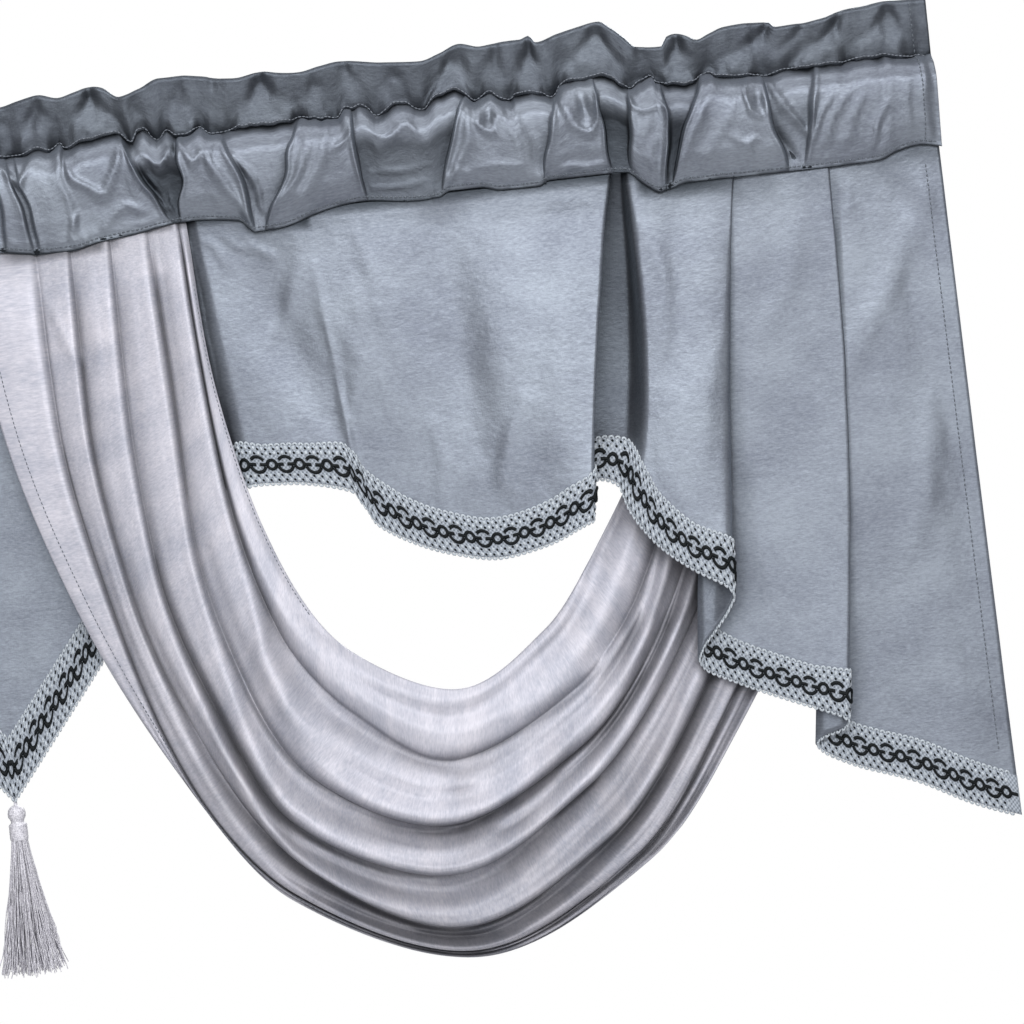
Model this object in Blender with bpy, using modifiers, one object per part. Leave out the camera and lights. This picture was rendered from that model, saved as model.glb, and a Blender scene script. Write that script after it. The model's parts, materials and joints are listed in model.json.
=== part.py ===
"""A rod pocket valance, hanging as it does on a rod: a gathered heading with its tubular pocket,
two swags, a pointed centre panel with a tassel, and two side panels that fall in a scallop and
knife pleats, edged with a woven braid.

It hangs in the XZ plane with its front towards -Y. The origin is the middle of its top edge.
Every length below is in millimetres, and every mesh is in metres.
"""

import math

import bmesh
import bpy
import numpy as np

COLLECTION = "rod_pocket_valance"
MM = 0.001

# Driving dimensions
HALF_WIDTH = 762.0
SEAM_HEIGHT = -104.0  # the seam from which swags and panels hang
SEWN_GAP = 0.4  # between the braid and its cloth
HANG_GAP = 0.45  # between the seam and the cloth below it
SWAG_CLOTH = 1.6
PANEL_CLOTH = 1.4
HEADER_CLOTH = 3.0
BRAID_CLOTH = 1.2
BRAID_WIDTH = 28.0
BRAID_FACING = -1.0  # the side of the right-hand cloth on which the braid is sewn

# The rod pocket
ROD_HEIGHT = -57.0
HEADING_STATIONS = 85
CUTTER_OVERRUN = 6.0
POCKET_FRONT = (
    # y, share of the gathers' depth, how far down the gathers, height above the rod
    (-10.0, 0.5, 0.1, 13.5), (-15.6, 0.8, 0.15, 7.0), (-17.0, 1.0, 0.3, -3.0),
    (-15.0, 1.0, 0.5, -18.0), (-12.6, 0.8, 0.75, -34.0),
)
POCKET_BACK = (
    # the same columns, upwards
    (8.4, -0.3, 0.75, -34.0), (13.0, -0.5, 0.5, -18.0), (17.0, -0.5, 0.3, -3.0),
    (15.6, -0.4, 0.15, 7.0), (10.0, -0.2, 0.1, 13.5),
)
POCKET_HOLLOW = (
    # the same columns, down the front and up the back
    (0.0, 0.0, 0.0, 14.6), (-10.8, 0.0, 0.0, 9.9), (-15.0, 0.8, 0.3, -3.0),
    (-12.6, 1.0, 0.55, -20.0), (-6.8, 0.0, 1.0, -41.0), (4.0, 0.0, 1.0, -41.0),
    (11.0, 0.0, 0.55, -20.0), (15.0, 0.0, 0.3, -3.0), (10.8, 0.0, 0.0, 9.9),
)
STITCHED_HALF = 2.2  # half the thickness of the cloth at the pocket's upper seam
LIP = (
    # y, share of the gathers' depth, height above the lip
    (-10.5, 0.6, 3.5), (-8.6, 0.0, 0.0),
)
LIP_FRONT, LIP_BACK = -6.6, 5.6  # the heading's foot at the lower seam
RUFFLE_SWAY = 0.9  # how far the header ruffle leans back where the gathers stand out

# The top edge, the upper seam and the drooping lip of the heading, from its middle to its end
HEADING_EDGES = (
    # x, top edge, upper seam, lip
    (0, -3, -39, -112), (25, 2, -41, -113), (50, -5, -41, -114), (80, 1, -38, -117),
    (95, -3, -40, -117), (118, 3, -35, -115), (141, -8, -37, -111), (157, -3, -37, -108),
    (173, 3, -40, -106), (189, 4, -39, -106), (204, 1, -38, -107), (234, -4, -39, -118),
    (257, -1, -38, -117), (280, -4, -38, -110), (312, 1, -36, -106), (342, -3, -37, -108),
    (372, -6, -41, -109), (404, 4, -35, -106), (435, 2, -38, -108), (457, 4, -36, -108),
    (467, -3, -38, -106), (497, 7, -35, -106), (511, 9, -35, -106), (534, -11, -37, -114),
    (552, -15, -38, -123), (569, -6, -40, -119), (585, -13, -41, -119), (604, -6, -41, -119),
    (650, -10, -41, -118), (681, -7, -41, -119), (720, 0, -41, -115), (743, -1, -41, -110),
    (762, -1, -41, -114),
)

# The gathers: where each crosses the upper seam and the lip, how far it stands out, its half width
GATHERS = (
    (30, 36, 5, 12), (58, 70, 6, 11), (91, 116, 7, 12), (115, 132, -4, 8), (141, 166, 8, 11),
    (180, 180, -7, 8), (203, 235, 8, 12), (232, 252, 4, 9), (278, 252, -4, 9), (296, 290, 5, 13),
    (320, 322, 5, 10), (355, 352, -3, 20), (392, 396, 6, 13), (407, 378, -4, 8), (430, 425, 6, 12),
    (473, 458, -4, 8), (488, 490, 7, 12), (515, 516, -9, 9), (551, 545, 8, 12), (581, 566, -4, 9),
    (600, 592, 6, 13), (630, 655, 7, 12), (668, 690, 5, 13), (702, 722, 5, 12), (738, 742, 5, 12),
)
LOOSE_CLOTH = 2.5  # how far the pocket stands off the rod between gathers

# The swag: shares of a fold's drop at which its legs are placed, and the parameter of each share
DROP_SHARES = (0.0, 0.25, 0.5, 0.75, 0.9)
LEG_KEYS = (0.0, 0.1, 0.2, 0.31, 0.39)
SWAG_VALLEYS = (
    # left leg's x at each share, lowest x and z, right leg's x at each share
    ((176, 181, 197, 231, 270), 350, -483, (575, 552, 520, 465, 420)),
    ((170, 177, 188, 220, 278), 350, -536, (592, 570, 535, 488, 445)),
    ((150, 154, 161, 190, 230), 340, -586, (612, 592, 557, 493, 444)),
    ((121, 121, 128, 173, 224), 336, -624, (634, 614, 576, 509, 453)),
    ((88, 91, 114, 166, 230), 342, -662, (655, 636, 597, 525, 460)),
    ((64, 69, 93, 150, 213), 343, -680, (675, 657, 619, 540, 470)),
    ((5, 25, 68, 140, 206), 345, -687, (692, 677, 640, 556, 480)),
)
SWAG_FOLDS = (
    # where the ridge lies between two valleys, how far it stands out on the legs and at the belly
    (0.56, 5, 14),
    (0.80, 6, 27),
    (0.68, 6, 21),
    (0.64, 6, 18),
    (0.60, 5, 11),
    (0.50, 3, 5),
)
SWAG_DEPTH = (
    # parameter along the swag, depth of its valleys
    (0.0, -3.2), (0.018, -3.4), (0.07, -8.0), (0.3, -11.0), (0.5, -17.0), (0.61, -7.0),
    (0.7, 5.0), (0.8, 9.0), (0.94, 9.0), (0.982, 3.8), (1.0, 3.6),
)
SWAG_COLUMNS = 29

# The centre panel
CENTRE_HALF_WIDTH = 180.0
CENTRE_TIP = -531.0
POINT_SLOPE = 1.25
CENTRE_COLUMNS = 24
CENTRE_ROWS = 8

# The right side panel, a row for each place along its hem
SIDE_PANEL = (
    # x and y at the seam, x, y and z at the hem, and how late its fold leans over
    (171, 0.2, 188, 1, -338, 1),
    (181, -0.2, 199, -0.5, -325, 1),
    (185, -2.2, 204, -3.5, -313, 1),
    (190, -4.2, 212, -7, -311, 1),
    (222, -4, 242, -9, -313, 1),
    (262, -4.4, 287, -11, -325, 1),
    (270, -4.5, 293, -16, -336, 1),
    (278, -4, 299, -12, -348, 1),
    (300, -4.3, 326, -14, -367, 1),
    (332, -4, 358, -19, -380, 1),
    (366, -4.4, 392, -25, -387, 1),
    (408, -4, 429, -32, -381, 1),
    (462, -4.4, 452, -38, -372, 0.9),
    (506, -4.7, 461, -40, -368, 0.8),
    (509, -3.6, 464, -36, -365, 0.8),
    (505, -2.3, 460, -29, -357, 0.8),
    (496, -0.8, 453, -18, -345, 0.8),
    (500, 0.4, 461, -9, -338, 0.8),
    (509, 0.3, 474, -7, -336, 1),
    (516, -0.6, 488, -8.5, -342, 2.5),
    (521, -3.6, 495, -18, -364, 3.5),
    (545, -4.2, 511, -22, -389, 1.4),
    (580, -4.4, 534, -26, -410, 0.9),
    (603, -4.7, 560, -30.5, -428, 0.78),
    (606, -3.6, 564, -27, -435, 0.76),
    (602, -2.4, 559, -22, -444, 0.78),
    (591, -1.7, 548, -18.5, -459, 0.9),
    (584, -1.1, 537, -17, -472, 0.95),
    (581, -0.5, 533, -12.5, -481, 1),
    (585, 0.3, 537, -8.5, -488, 1),
    (613, -0.4, 570, -9, -505, 1.2),
    (645, -3.6, 606, -15, -522, 1.6),
    (672, -4.7, 637, -22.5, -536, 1.95),
    (675, -3.6, 641, -19.5, -540, 2),
    (670, -2.3, 635, -16, -545, 1.9),
    (657, -1.2, 620, -13.8, -550, 1.7),
    (653, -0.6, 615, -9.5, -555, 1.6),
    (657, 0.3, 620, -5.5, -561, 1.5),
    (684, -0.4, 647, -5, -576, 1.2),
    (710, -3, 688, -7, -591, 1),
    (736, -3.2, 730, -10, -613, 1),
    (760, -3, 765, -8, -627, 1),
)
PANEL_ROWS = (0.0, 0.08, 0.24, 0.44, 0.66)  # shares of the drop, above the braid
LONGEST_STEP = 32.0
SHARPEST_TURN = math.radians(48)  # between neighbouring columns of a fold

# The tassel
TASSEL_PROFILE = (
    # radius, how far below the tip
    (1.6, 0.4), (1.6, 4.5), (4.6, 5.4), (6.8, 9.0), (7.0, 12.5), (4.9, 17.0), (5.6, 18.6),
    (7.1, 20.0), (7.1, 30.0), (6.6, 32.0),
)
TASSEL_SKIRT = 106.0
STRAND_RINGS = (
    # strands, radius at the collar, radius at the foot
    (22, 5.6, 26.0),
    (14, 3.9, 17.0),
    (8, 2.2, 9.0),
    (1, 0.0, 1.0),
)
STRAND_SIZES = ((0.0, 0.5), (0.45, 1.6), (1.0, 2.3))  # share of the length, radius

# Colours, roughness
STEEL_SATIN = ((0.27, 0.32, 0.37), 0.38)
LILAC_SATIN = ((0.50, 0.49, 0.56), 0.34)
BRAID_YARN = ((0.66, 0.72, 0.74), 0.70)
TASSEL_YARN = ((0.50, 0.49, 0.56), 0.50)


def through(keys, values, at):
    """A smooth curve through the rows of a table that never swings past them."""
    keys, values, at = (np.asarray(given, float) for given in (keys, values, at))
    steps = np.diff(keys)
    rises = np.diff(values) / steps
    same_way = rises[:-1] * rises[1:] > 0
    total = np.where(same_way, rises[:-1] + rises[1:], 1.0)
    inner = np.where(same_way, 2 * rises[:-1] * rises[1:] / total, 0.0)
    slopes = np.concatenate(([rises[0]], inner, [rises[-1]]))
    k = np.clip(np.searchsorted(keys, at) - 1, 0, len(steps) - 1)
    s = (at - keys[k]) / steps[k]
    from_values = (1 + 2 * s) * (1 - s) ** 2 * values[k] + s * s * (3 - 2 * s) * values[k + 1]
    from_slopes = s * (1 - s) ** 2 * slopes[k] + s * s * (s - 1) * slopes[k + 1]
    return from_values + steps[k] * from_slopes


def ease(low, high, x):
    """0 below low, 1 above high, and a soft step between."""
    s = np.clip((np.asarray(x, float) - low) / (high - low), 0, 1)
    return s * s * (3 - 2 * s)


def material(name, look):
    colour, roughness = look
    made = bpy.data.materials.new(name)
    made.use_nodes = True
    shader = made.node_tree.nodes["Principled BSDF"]
    shader.inputs["Base Color"].default_value = (*colour, 1.0)
    shader.inputs["Roughness"].default_value = roughness
    shader.inputs["Metallic"].default_value = 0.0
    return made


def add_object(name, bm, finish, collection):
    mesh = bpy.data.meshes.new(name)
    bm.to_mesh(mesh)
    bm.free()
    made = bpy.data.objects.new(name, mesh)
    made.data.materials.append(finish)
    collection.objects.link(made)
    return made


def draped_grid(points):
    """A grid laid over points, an array of rows, columns and xyz."""
    rows, columns = points.shape[:2]
    bm = bmesh.new()
    bmesh.ops.create_grid(bm, x_segments=columns - 1, y_segments=rows - 1, size=1.0)
    for vertex, point in zip(bm.verts, points.reshape(-1, 3)):
        vertex.co = point * MM
    bmesh.ops.triangulate(bm, faces=bm.faces, quad_method="FIXED")
    for face in bm.faces:
        face.smooth = True
    bm.normal_update()
    return bm


def hung_sheet(name, points, thickness, finish, collection, grows=0.0):
    """A sheet of cloth: points run through its middle, or along one face where grows is 1 or -1."""
    made = add_object(name, draped_grid(points), finish, collection)
    cloth = made.modifiers.new("cloth", "SOLIDIFY")
    cloth.thickness = thickness * MM
    cloth.offset = grows
    return made


def loft(name, sections, finish, collection):
    """A closed body through sections that have the same number of points."""
    bm = bmesh.new()
    rings = [[bm.verts.new(point * MM) for point in section] for section in sections]
    for ring, following in zip(rings, rings[1:]):
        for k, vertex in enumerate(ring):
            after = (k + 1) % len(ring)
            bm.faces.new((vertex, ring[after], following[after], following[k]))
    bm.faces.new(rings[0])
    bm.faces.new(rings[-1])
    bmesh.ops.recalc_face_normals(bm, faces=bm.faces)
    made = add_object(name, bm, finish, collection)
    made.data.shade_smooth()
    made.data.set_sharp_from_angle(angle=math.radians(50))
    return made


def gather_place(x):
    """Where the tables hold the gather at x: the left half repeats the right one a little unevenly."""
    away = abs(x)
    return away if x >= 0 else away + 9.0 * math.sin(away / 70.0) * float(ease(0, 60, away))


def heading_edges(x):
    place = min(gather_place(x), HALF_WIDTH)
    columns = list(zip(*HEADING_EDGES))
    return [float(through(columns[0], column, place)) for column in columns[1:]]


def stand_out(x, share):
    """How far the gathers stand out at a share of the way from the upper seam to the lip."""
    place = gather_place(x)
    out = sum(
        depth * math.exp(-(((place - at_seam - (at_lip - at_seam) * share) / width) ** 2))
        for at_seam, at_lip, depth, width in GATHERS
    )
    return max(0.0, LOOSE_CLOTH + out)


def pocket_outline(rows, x):
    """The y and z of a table of the pocket's outline at x."""
    return [
        (y - share * stand_out(x, down), ROD_HEIGHT + height) for y, share, down, height in rows
    ]


def heading_section(x):
    """The outline of the heading at x, down the front and up the back."""
    top, seam, lip = heading_edges(x)
    sway = -RUFFLE_SWAY * (stand_out(x, 0.0) - 1.6 * LOOSE_CLOTH)
    ruffle = ((sway, top), (0.45 * sway, 0.5 * (top + seam)))
    half = HEADER_CLOTH / 2
    outline = [
        *((y - half, z) for y, z in ruffle),
        (-STITCHED_HALF, seam),
        *pocket_outline(POCKET_FRONT, x),
        *((y - share * stand_out(x, 0.95), lip + above) for y, share, above in LIP),
        (LIP_FRONT, SEAM_HEIGHT),
        (LIP_BACK, SEAM_HEIGHT),
        *pocket_outline(POCKET_BACK, x),
        (STITCHED_HALF, seam),
        *((y + half, z) for y, z in reversed(ruffle)),
    ]
    return np.array([(x, y, z) for y, z in outline])


def pocket_section(x):
    """The hollow of the pocket at x, which follows the cloth in front of the rod."""
    return np.array([(x, y, z) for y, z in pocket_outline(POCKET_HOLLOW, x)])


def add_heading(collection, cutters, finish):
    stations = np.linspace(-HALF_WIDTH, HALF_WIDTH, HEADING_STATIONS)
    heading = loft("heading", [heading_section(x) for x in stations], finish, collection)
    ends = stations.copy()
    ends[0] -= CUTTER_OVERRUN
    ends[-1] += CUTTER_OVERRUN
    sections = [pocket_section(x) for x in stations]
    for section, x in zip(sections, ends):
        section[:, 0] = x
    hollow = loft("pocket_hollow", sections, finish, cutters)
    hollow.hide_render = True
    hollow.display_type = "WIRE"
    cut = heading.modifiers.new("pocket", "BOOLEAN")
    cut.operation = "DIFFERENCE"
    cut.solver = "EXACT"
    cut.object = hollow


def swag_valley(row, t):
    """The x and z of one valley of the swag's folds at each parameter t."""
    left, low_x, low_z, right = row
    keys = (*LEG_KEYS, 0.5, *(1 - key for key in reversed(LEG_KEYS)))
    drop = low_z - SEAM_HEIGHT + HANG_GAP
    heights = [SEAM_HEIGHT - HANG_GAP + drop * share for share in DROP_SHARES]
    xs = (*left, low_x, *reversed(right))
    zs = (*heights, low_z, *reversed(heights))
    return through(keys, xs, t), through(keys, zs, t)


def swag_points():
    """Rows across the folds, from the inner edge to the hem, of points along the right swag."""
    t = np.concatenate(([0, 0.018], np.linspace(0.045, 0.955, SWAG_COLUMNS), [0.982, 1]))
    base = through(*zip(*SWAG_DEPTH), t)
    belly = np.sin(math.pi * t) ** 4
    free = ease(0.018, 0.1, t) * ease(0.018, 0.1, 1 - t)
    valleys = [swag_valley(row, t) for row in SWAG_VALLEYS]
    rows = []
    for (x0, z0), (x1, z1), (ridge, on_leg, on_belly) in zip(valleys, valleys[1:], SWAG_FOLDS):
        out = (on_leg + (on_belly - on_leg) * belly) * free
        for share, height in ((0.0, 0.0), (0.5 * ridge, 0.62), (ridge, 1.0)):
            xs, zs = x0 + (x1 - x0) * share, z0 + (z1 - z0) * share
            rows.append(np.stack([xs, base - out * height, zs], 1))
    rows.append(np.stack([valleys[-1][0], base, valleys[-1][1]], 1))
    return np.array(rows)


def panel_columns():
    """The side panel's table read off at even steps and turns round its folds, as six columns."""
    table = np.array(SIDE_PANEL)
    stations = np.arange(len(table))
    fine = np.linspace(0, len(table) - 1, 16 * (len(table) - 1) + 1)
    plan = np.stack([through(stations, table[:, column], fine) for column in (2, 3)])
    steps = np.diff(plan)
    lengths = np.hypot(*steps)
    turns = np.abs(np.angle(np.exp(1j * np.diff(np.arctan2(steps[1], steps[0]), prepend=0.0))))
    turns[0] = 0.0
    at = [0.0]
    gone = turned = 0.0
    for place, length, turn in zip(fine[1:], lengths, turns):
        gone += length
        turned += turn
        if gone > LONGEST_STEP or turned > SHARPEST_TURN:
            at.append(place)
            gone = turned = 0.0
    at = np.array([*at[:-1], stations[-1]] if stations[-1] - at[-1] < 0.3 else [*at, stations[-1]])
    return np.array([through(stations, table[:, column], at) for column in range(6)])


def panel_points(columns, shares):
    """Points of the side panel at each share of its drop, one share or an array for each column."""
    x_top, y_top, x_hem, y_hem, z_hem, lean = columns
    top = SEAM_HEIGHT - HANG_GAP
    rows = []
    for share in shares:
        share = np.broadcast_to(np.asarray(share, float), x_top.shape)
        forward = np.clip((share - 0.07) / 0.93, 0, 1) ** 0.85
        xs = x_top + (x_hem - x_top) * share**lean
        ys = y_top + (y_hem - y_top) * forward
        zs = top + (z_hem - top) * share
        rows.append(np.stack([xs, ys, zs], 1))
    return np.array(rows)


def braid_share(columns):
    """The share of the panel's drop at which the braid's upper edge lies, for each column."""
    hem, above = panel_points(columns, (1.0, 0.95))
    along = np.gradient(hem, axis=0)
    up = above - hem
    lengths = np.linalg.norm(up, axis=1)
    across = np.linalg.norm(np.cross(along, up), axis=1) / (np.linalg.norm(along, axis=1) * lengths)
    return 1.0 - 0.05 * BRAID_WIDTH / (np.clip(across, 0.62, 1.0) * lengths)


def laid_on(points, rows):
    """The last rows of a draped sheet's points, moved to just in front of its cloth."""
    bm = draped_grid(points)
    normals = np.array([tuple(vertex.normal) for vertex in bm.verts]).reshape(points.shape)
    bm.free()
    if normals[..., 1].sum() > 0:
        normals = -normals
    return (points + normals * (PANEL_CLOTH / 2 + SEWN_GAP))[-rows:]


def mirrored(points):
    return points * np.array((-1.0, 1.0, 1.0))


def add_side_panels(collection, satin, yarn):
    columns = panel_columns()
    panel = panel_points(columns, (*PANEL_ROWS, braid_share(columns), 1.0))
    braid = laid_on(panel, 2)
    for side, turned, grows in (("right", np.copy, BRAID_FACING), ("left", mirrored, -BRAID_FACING)):
        hung_sheet(f"side_panel_{side}", turned(panel), PANEL_CLOTH, satin, collection)
        hung_sheet(f"braid_{side}", turned(braid), BRAID_CLOTH, yarn, collection, grows)


def centre_panel_points():
    """The centre panel's rows, the last two of them along the braid's edges."""
    u = np.linspace(-1, 1, CENTRE_COLUMNS + 1)
    hem = CENTRE_TIP + POINT_SLOPE * CENTRE_HALF_WIDTH * np.abs(u)
    top = SEAM_HEIGHT - HANG_GAP
    braid_top = hem + BRAID_WIDTH * math.hypot(1, POINT_SLOPE)
    heights = [top + (braid_top - top) * share for share in np.linspace(0, 1, CENTRE_ROWS)]
    rows = []
    for zs in (*heights, hem):
        fall = (top - zs) / (top - CENTRE_TIP)
        ys = 3.2 + 3.4 * ease(0.04, 0.6, fall) + 1.8 * np.sin(4.4 * u + 0.6) * ease(0.05, 0.7, fall)
        rows.append(np.stack([CENTRE_HALF_WIDTH * u, ys, zs], 1))
    return np.array(rows)


def add_centre_panel(collection, satin, yarn):
    points = centre_panel_points()
    hung_sheet("centre_panel", points, PANEL_CLOTH, satin, collection)
    hung_sheet("braid_centre", laid_on(points, 2), BRAID_CLOTH, yarn, collection, BRAID_FACING)


def tassel_head(finish, collection, place):
    """The loop stub, ball and collar, turned about the tassel's axis."""
    bm = bmesh.new()
    points = [(0.0, TASSEL_PROFILE[0][1]), *TASSEL_PROFILE, (0.0, TASSEL_PROFILE[-1][1])]
    verts = [bm.verts.new((radius * MM, 0, -below * MM)) for radius, below in points]
    for one, other in zip(verts, verts[1:]):
        bm.edges.new((one, other))
    head = add_object("tassel", bm, finish, collection)
    head.location = place
    turn = head.modifiers.new("turn", "SCREW")
    turn.steps = turn.render_steps = 14
    turn.use_merge_vertices = True
    turn.merge_threshold = 0.00001
    return head


def tassel_strands(finish, cutters, place):
    """Strands that fan out from inside the collar and stand apart all the way down."""
    bm = bmesh.new()
    start = TASSEL_PROFILE[-1][1] - 5.0
    for count, root, foot in STRAND_RINGS:
        for k in range(count):
            turn = 2 * math.pi * (k + 0.5 * (count % 4)) / count
            uneven = 1.0 + 0.05 * math.sin(5.1 * k + count)
            rings = []
            for share, radius in STRAND_SIZES:
                out = root + (foot * uneven - root) * share**1.25
                centre = np.array((out * math.cos(turn), out * math.sin(turn)))
                down = -(start + TASSEL_SKIRT * share * (1 + 0.04 * (uneven - 1)))
                corners = [turn + 2 * math.pi * corner / 3 for corner in range(3)]
                rings.append([
                    bm.verts.new((
                        (centre[0] + radius * math.cos(angle)) * MM,
                        (centre[1] + radius * math.sin(angle)) * MM,
                        down * MM,
                    ))
                    for angle in corners
                ])
            for ring, following in zip(rings, rings[1:]):
                for corner in range(3):
                    after = (corner + 1) % 3
                    bm.faces.new((ring[corner], ring[after], following[after], following[corner]))
            bm.faces.new(rings[0])
            bm.faces.new(rings[-1])
    bmesh.ops.recalc_face_normals(bm, faces=bm.faces)
    strands = add_object("tassel_strands", bm, finish, cutters)
    strands.location = place
    strands.hide_render = True
    strands.display_type = "WIRE"
    return strands


def add_tassel(collection, cutters, finish):
    tip = centre_panel_points()[-1][CENTRE_COLUMNS // 2]
    place = tuple(tip * MM)
    head = tassel_head(finish, collection, place)
    fused = head.modifiers.new("strands", "BOOLEAN")
    fused.operation = "UNION"
    fused.solver = "EXACT"
    fused.object = tassel_strands(finish, cutters, place)


def add_swags(collection, finish):
    points = swag_points()
    hung_sheet("swag_right", points, SWAG_CLOTH, finish, collection)
    hung_sheet("swag_left", mirrored(points), SWAG_CLOTH, finish, collection)


def main():
    for old in list(bpy.data.objects):
        bpy.data.objects.remove(old)
    parts = bpy.data.collections.new(COLLECTION)
    cutters = bpy.data.collections.new("cutters")
    bpy.context.scene.collection.children.link(parts)
    bpy.context.scene.collection.children.link(cutters)
    steel = material("steel_satin", STEEL_SATIN)
    lilac = material("lilac_satin", LILAC_SATIN)
    yarn = material("braid_yarn", BRAID_YARN)
    add_heading(parts, cutters, steel)
    add_centre_panel(parts, steel, yarn)
    add_swags(parts, lilac)
    add_side_panels(parts, steel, yarn)
    add_tassel(parts, cutters, material("tassel_yarn", TASSEL_YARN))


main()
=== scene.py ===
# %% [markdown]
# # A rod pocket valance in satin
#
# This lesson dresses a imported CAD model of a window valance: a gathered heading with a pocket for
# a rod, two swags, a pointed centre panel with a tassel, and two side panels with knife pleats,
# all edged with a woven braid. The valance hangs in the XZ plane with its front towards -Y, and
# the origin is the middle of its top edge. Tables are in millimetres, and meshes are in metres.

# %% Load the frame
import json
import math

import bmesh
import bpy
import numpy as np
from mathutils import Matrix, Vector
from mathutils.bvhtree import BVHTree

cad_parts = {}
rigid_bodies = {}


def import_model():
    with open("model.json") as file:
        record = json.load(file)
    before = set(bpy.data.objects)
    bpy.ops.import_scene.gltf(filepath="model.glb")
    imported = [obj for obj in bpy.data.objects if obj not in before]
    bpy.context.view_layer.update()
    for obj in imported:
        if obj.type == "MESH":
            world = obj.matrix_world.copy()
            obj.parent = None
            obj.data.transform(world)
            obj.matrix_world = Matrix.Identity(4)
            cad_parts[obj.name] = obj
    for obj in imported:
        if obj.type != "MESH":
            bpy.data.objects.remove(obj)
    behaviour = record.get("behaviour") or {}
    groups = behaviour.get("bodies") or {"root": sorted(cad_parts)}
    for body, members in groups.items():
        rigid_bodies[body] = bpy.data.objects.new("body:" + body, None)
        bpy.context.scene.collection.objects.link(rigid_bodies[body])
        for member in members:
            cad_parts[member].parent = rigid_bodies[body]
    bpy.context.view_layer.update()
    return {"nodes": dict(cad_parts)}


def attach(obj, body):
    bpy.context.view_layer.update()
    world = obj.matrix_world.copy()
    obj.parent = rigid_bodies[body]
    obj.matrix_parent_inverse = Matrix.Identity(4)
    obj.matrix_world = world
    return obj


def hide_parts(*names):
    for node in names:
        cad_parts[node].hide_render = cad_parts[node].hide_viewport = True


for left_over in list(bpy.data.objects):
    bpy.data.objects.remove(left_over)
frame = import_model()
MM = 0.001
print("CAD nodes:", sorted(frame["nodes"]))

# %% [markdown]
# ## Camera, light and floor
#
# The product was photographed square on, a little rolled, and from a fair distance, so a long lens
# stands 2.2 m away. Satin shows its folds by what it mirrors: a wide soft light close to the
# camera makes every part that faces the room bright, and dim sides let the creases go dark. A
# world that only the camera sees as white stands for the white sweep behind the product.

# %% Camera
def put(name, data):
    """A new object in the scene for a mesh, a light or a camera."""
    made = bpy.data.objects.new(name, data)
    bpy.context.scene.collection.objects.link(made)
    return made


ROLL = math.radians(6.4)
LENS = 100.0
SENSOR_WIDTH = 36.0
VIEW_CENTRE = (0.40430, -0.35402)
VIEW_WIDTH = 1024 * 0.000766

camera_data = bpy.data.cameras.new("camera")
camera_data.lens = LENS
camera_data.sensor_width = SENSOR_WIDTH
camera = put("camera", camera_data)
distance = VIEW_WIDTH * LENS / SENSOR_WIDTH
camera.location = (VIEW_CENTRE[0], -distance, VIEW_CENTRE[1])
camera.rotation_euler = (math.radians(90), ROLL, 0)
bpy.context.scene.camera = camera
print(f"camera {distance:.3f} m in front of the cloth")

# %% Lights
LIGHTS = (
    # name, place, the place it points at, width and height, watts
    ("key", (0.5, -2.3, 0.85), (0.4, 0, -0.3), (3.0, 1.1), 71),
    ("front", (0.45, -2.6, -0.55), (0.45, 0, -0.5), (3.0, 0.5), 24),
    ("back", (0.6, 2.4, 1.0), (0, 0, -0.2), (2.6, 1.2), 100),
    ("top", (0.3, -0.7, 2.0), (0.3, 0, 0), (2.8, 0.7), 26),
)
for name, place, aim, size, watts in LIGHTS:
    light = bpy.data.lights.new(name, "AREA")
    light.shape = "RECTANGLE"
    light.size, light.size_y = size
    light.energy = watts
    lamp = put(name, light)
    lamp.location = place
    lamp.rotation_euler = (Vector(aim) - Vector(place)).to_track_quat("-Z", "Y").to_euler()
bpy.context.scene.view_settings.view_transform = "Standard"
print("lights:", [row[0] for row in LIGHTS])


# %% A small helper for node trees
class Tree:
    """Adds nodes to a shader or geometry tree. Inputs are given as {socket: value or output}."""

    def __init__(self, node_tree):
        self.tree = node_tree

    def add(self, kind, inputs=None, **settings):
        made = self.tree.nodes.new(kind)
        for name, value in settings.items():
            setattr(made, name, value)
        for key, value in (inputs or {}).items():
            socket = made.inputs[key]
            if isinstance(value, bpy.types.NodeSocket):
                self.tree.links.new(value, socket)
            else:
                socket.default_value = value
        return made

    def out(self, kind, inputs=None, **settings):
        """The first output of a new node."""
        return self.add(kind, inputs, **settings).outputs[0]

    def reckon(self, operation, *values):
        """The result of one step of arithmetic."""
        return self.out("ShaderNodeMath", dict(enumerate(values)), operation=operation)

    def vector(self, operation, inputs):
        """The result of one step of arithmetic with vectors."""
        return self.out("ShaderNodeVectorMath", inputs, operation=operation)

    def spot(self, **parts):
        """A vector from its X, Y and Z."""
        return self.out("ShaderNodeCombineXYZ", parts)


def new_finish(name):
    made = bpy.data.materials.new(name)
    made.use_nodes = True
    made.node_tree.nodes.clear()
    return made, Tree(made.node_tree)


def shade(tree, inputs):
    """Ends a finish with its shader."""
    tree.add("ShaderNodeOutputMaterial", {"Surface": tree.out("ShaderNodeBsdfPrincipled", inputs)})


# %% White sweep and pale floor
WORLD_LIGHT = 0.09
world = bpy.data.worlds.new("white_sweep")
bpy.context.scene.world = world
world.use_nodes = True
world.node_tree.nodes.clear()
tree = Tree(world.node_tree)
seen = tree.out("ShaderNodeBackground", {"Color": (1, 1, 1, 1), "Strength": 1.0})
lit = tree.out("ShaderNodeBackground", {"Color": (0.90, 0.94, 1.0, 1), "Strength": WORLD_LIGHT})
to_camera = tree.add("ShaderNodeLightPath").outputs["Is Camera Ray"]
sweep = tree.out("ShaderNodeMixShader", {0: to_camera, 1: lit, 2: seen})
tree.add("ShaderNodeOutputWorld", {"Surface": sweep})

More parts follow.
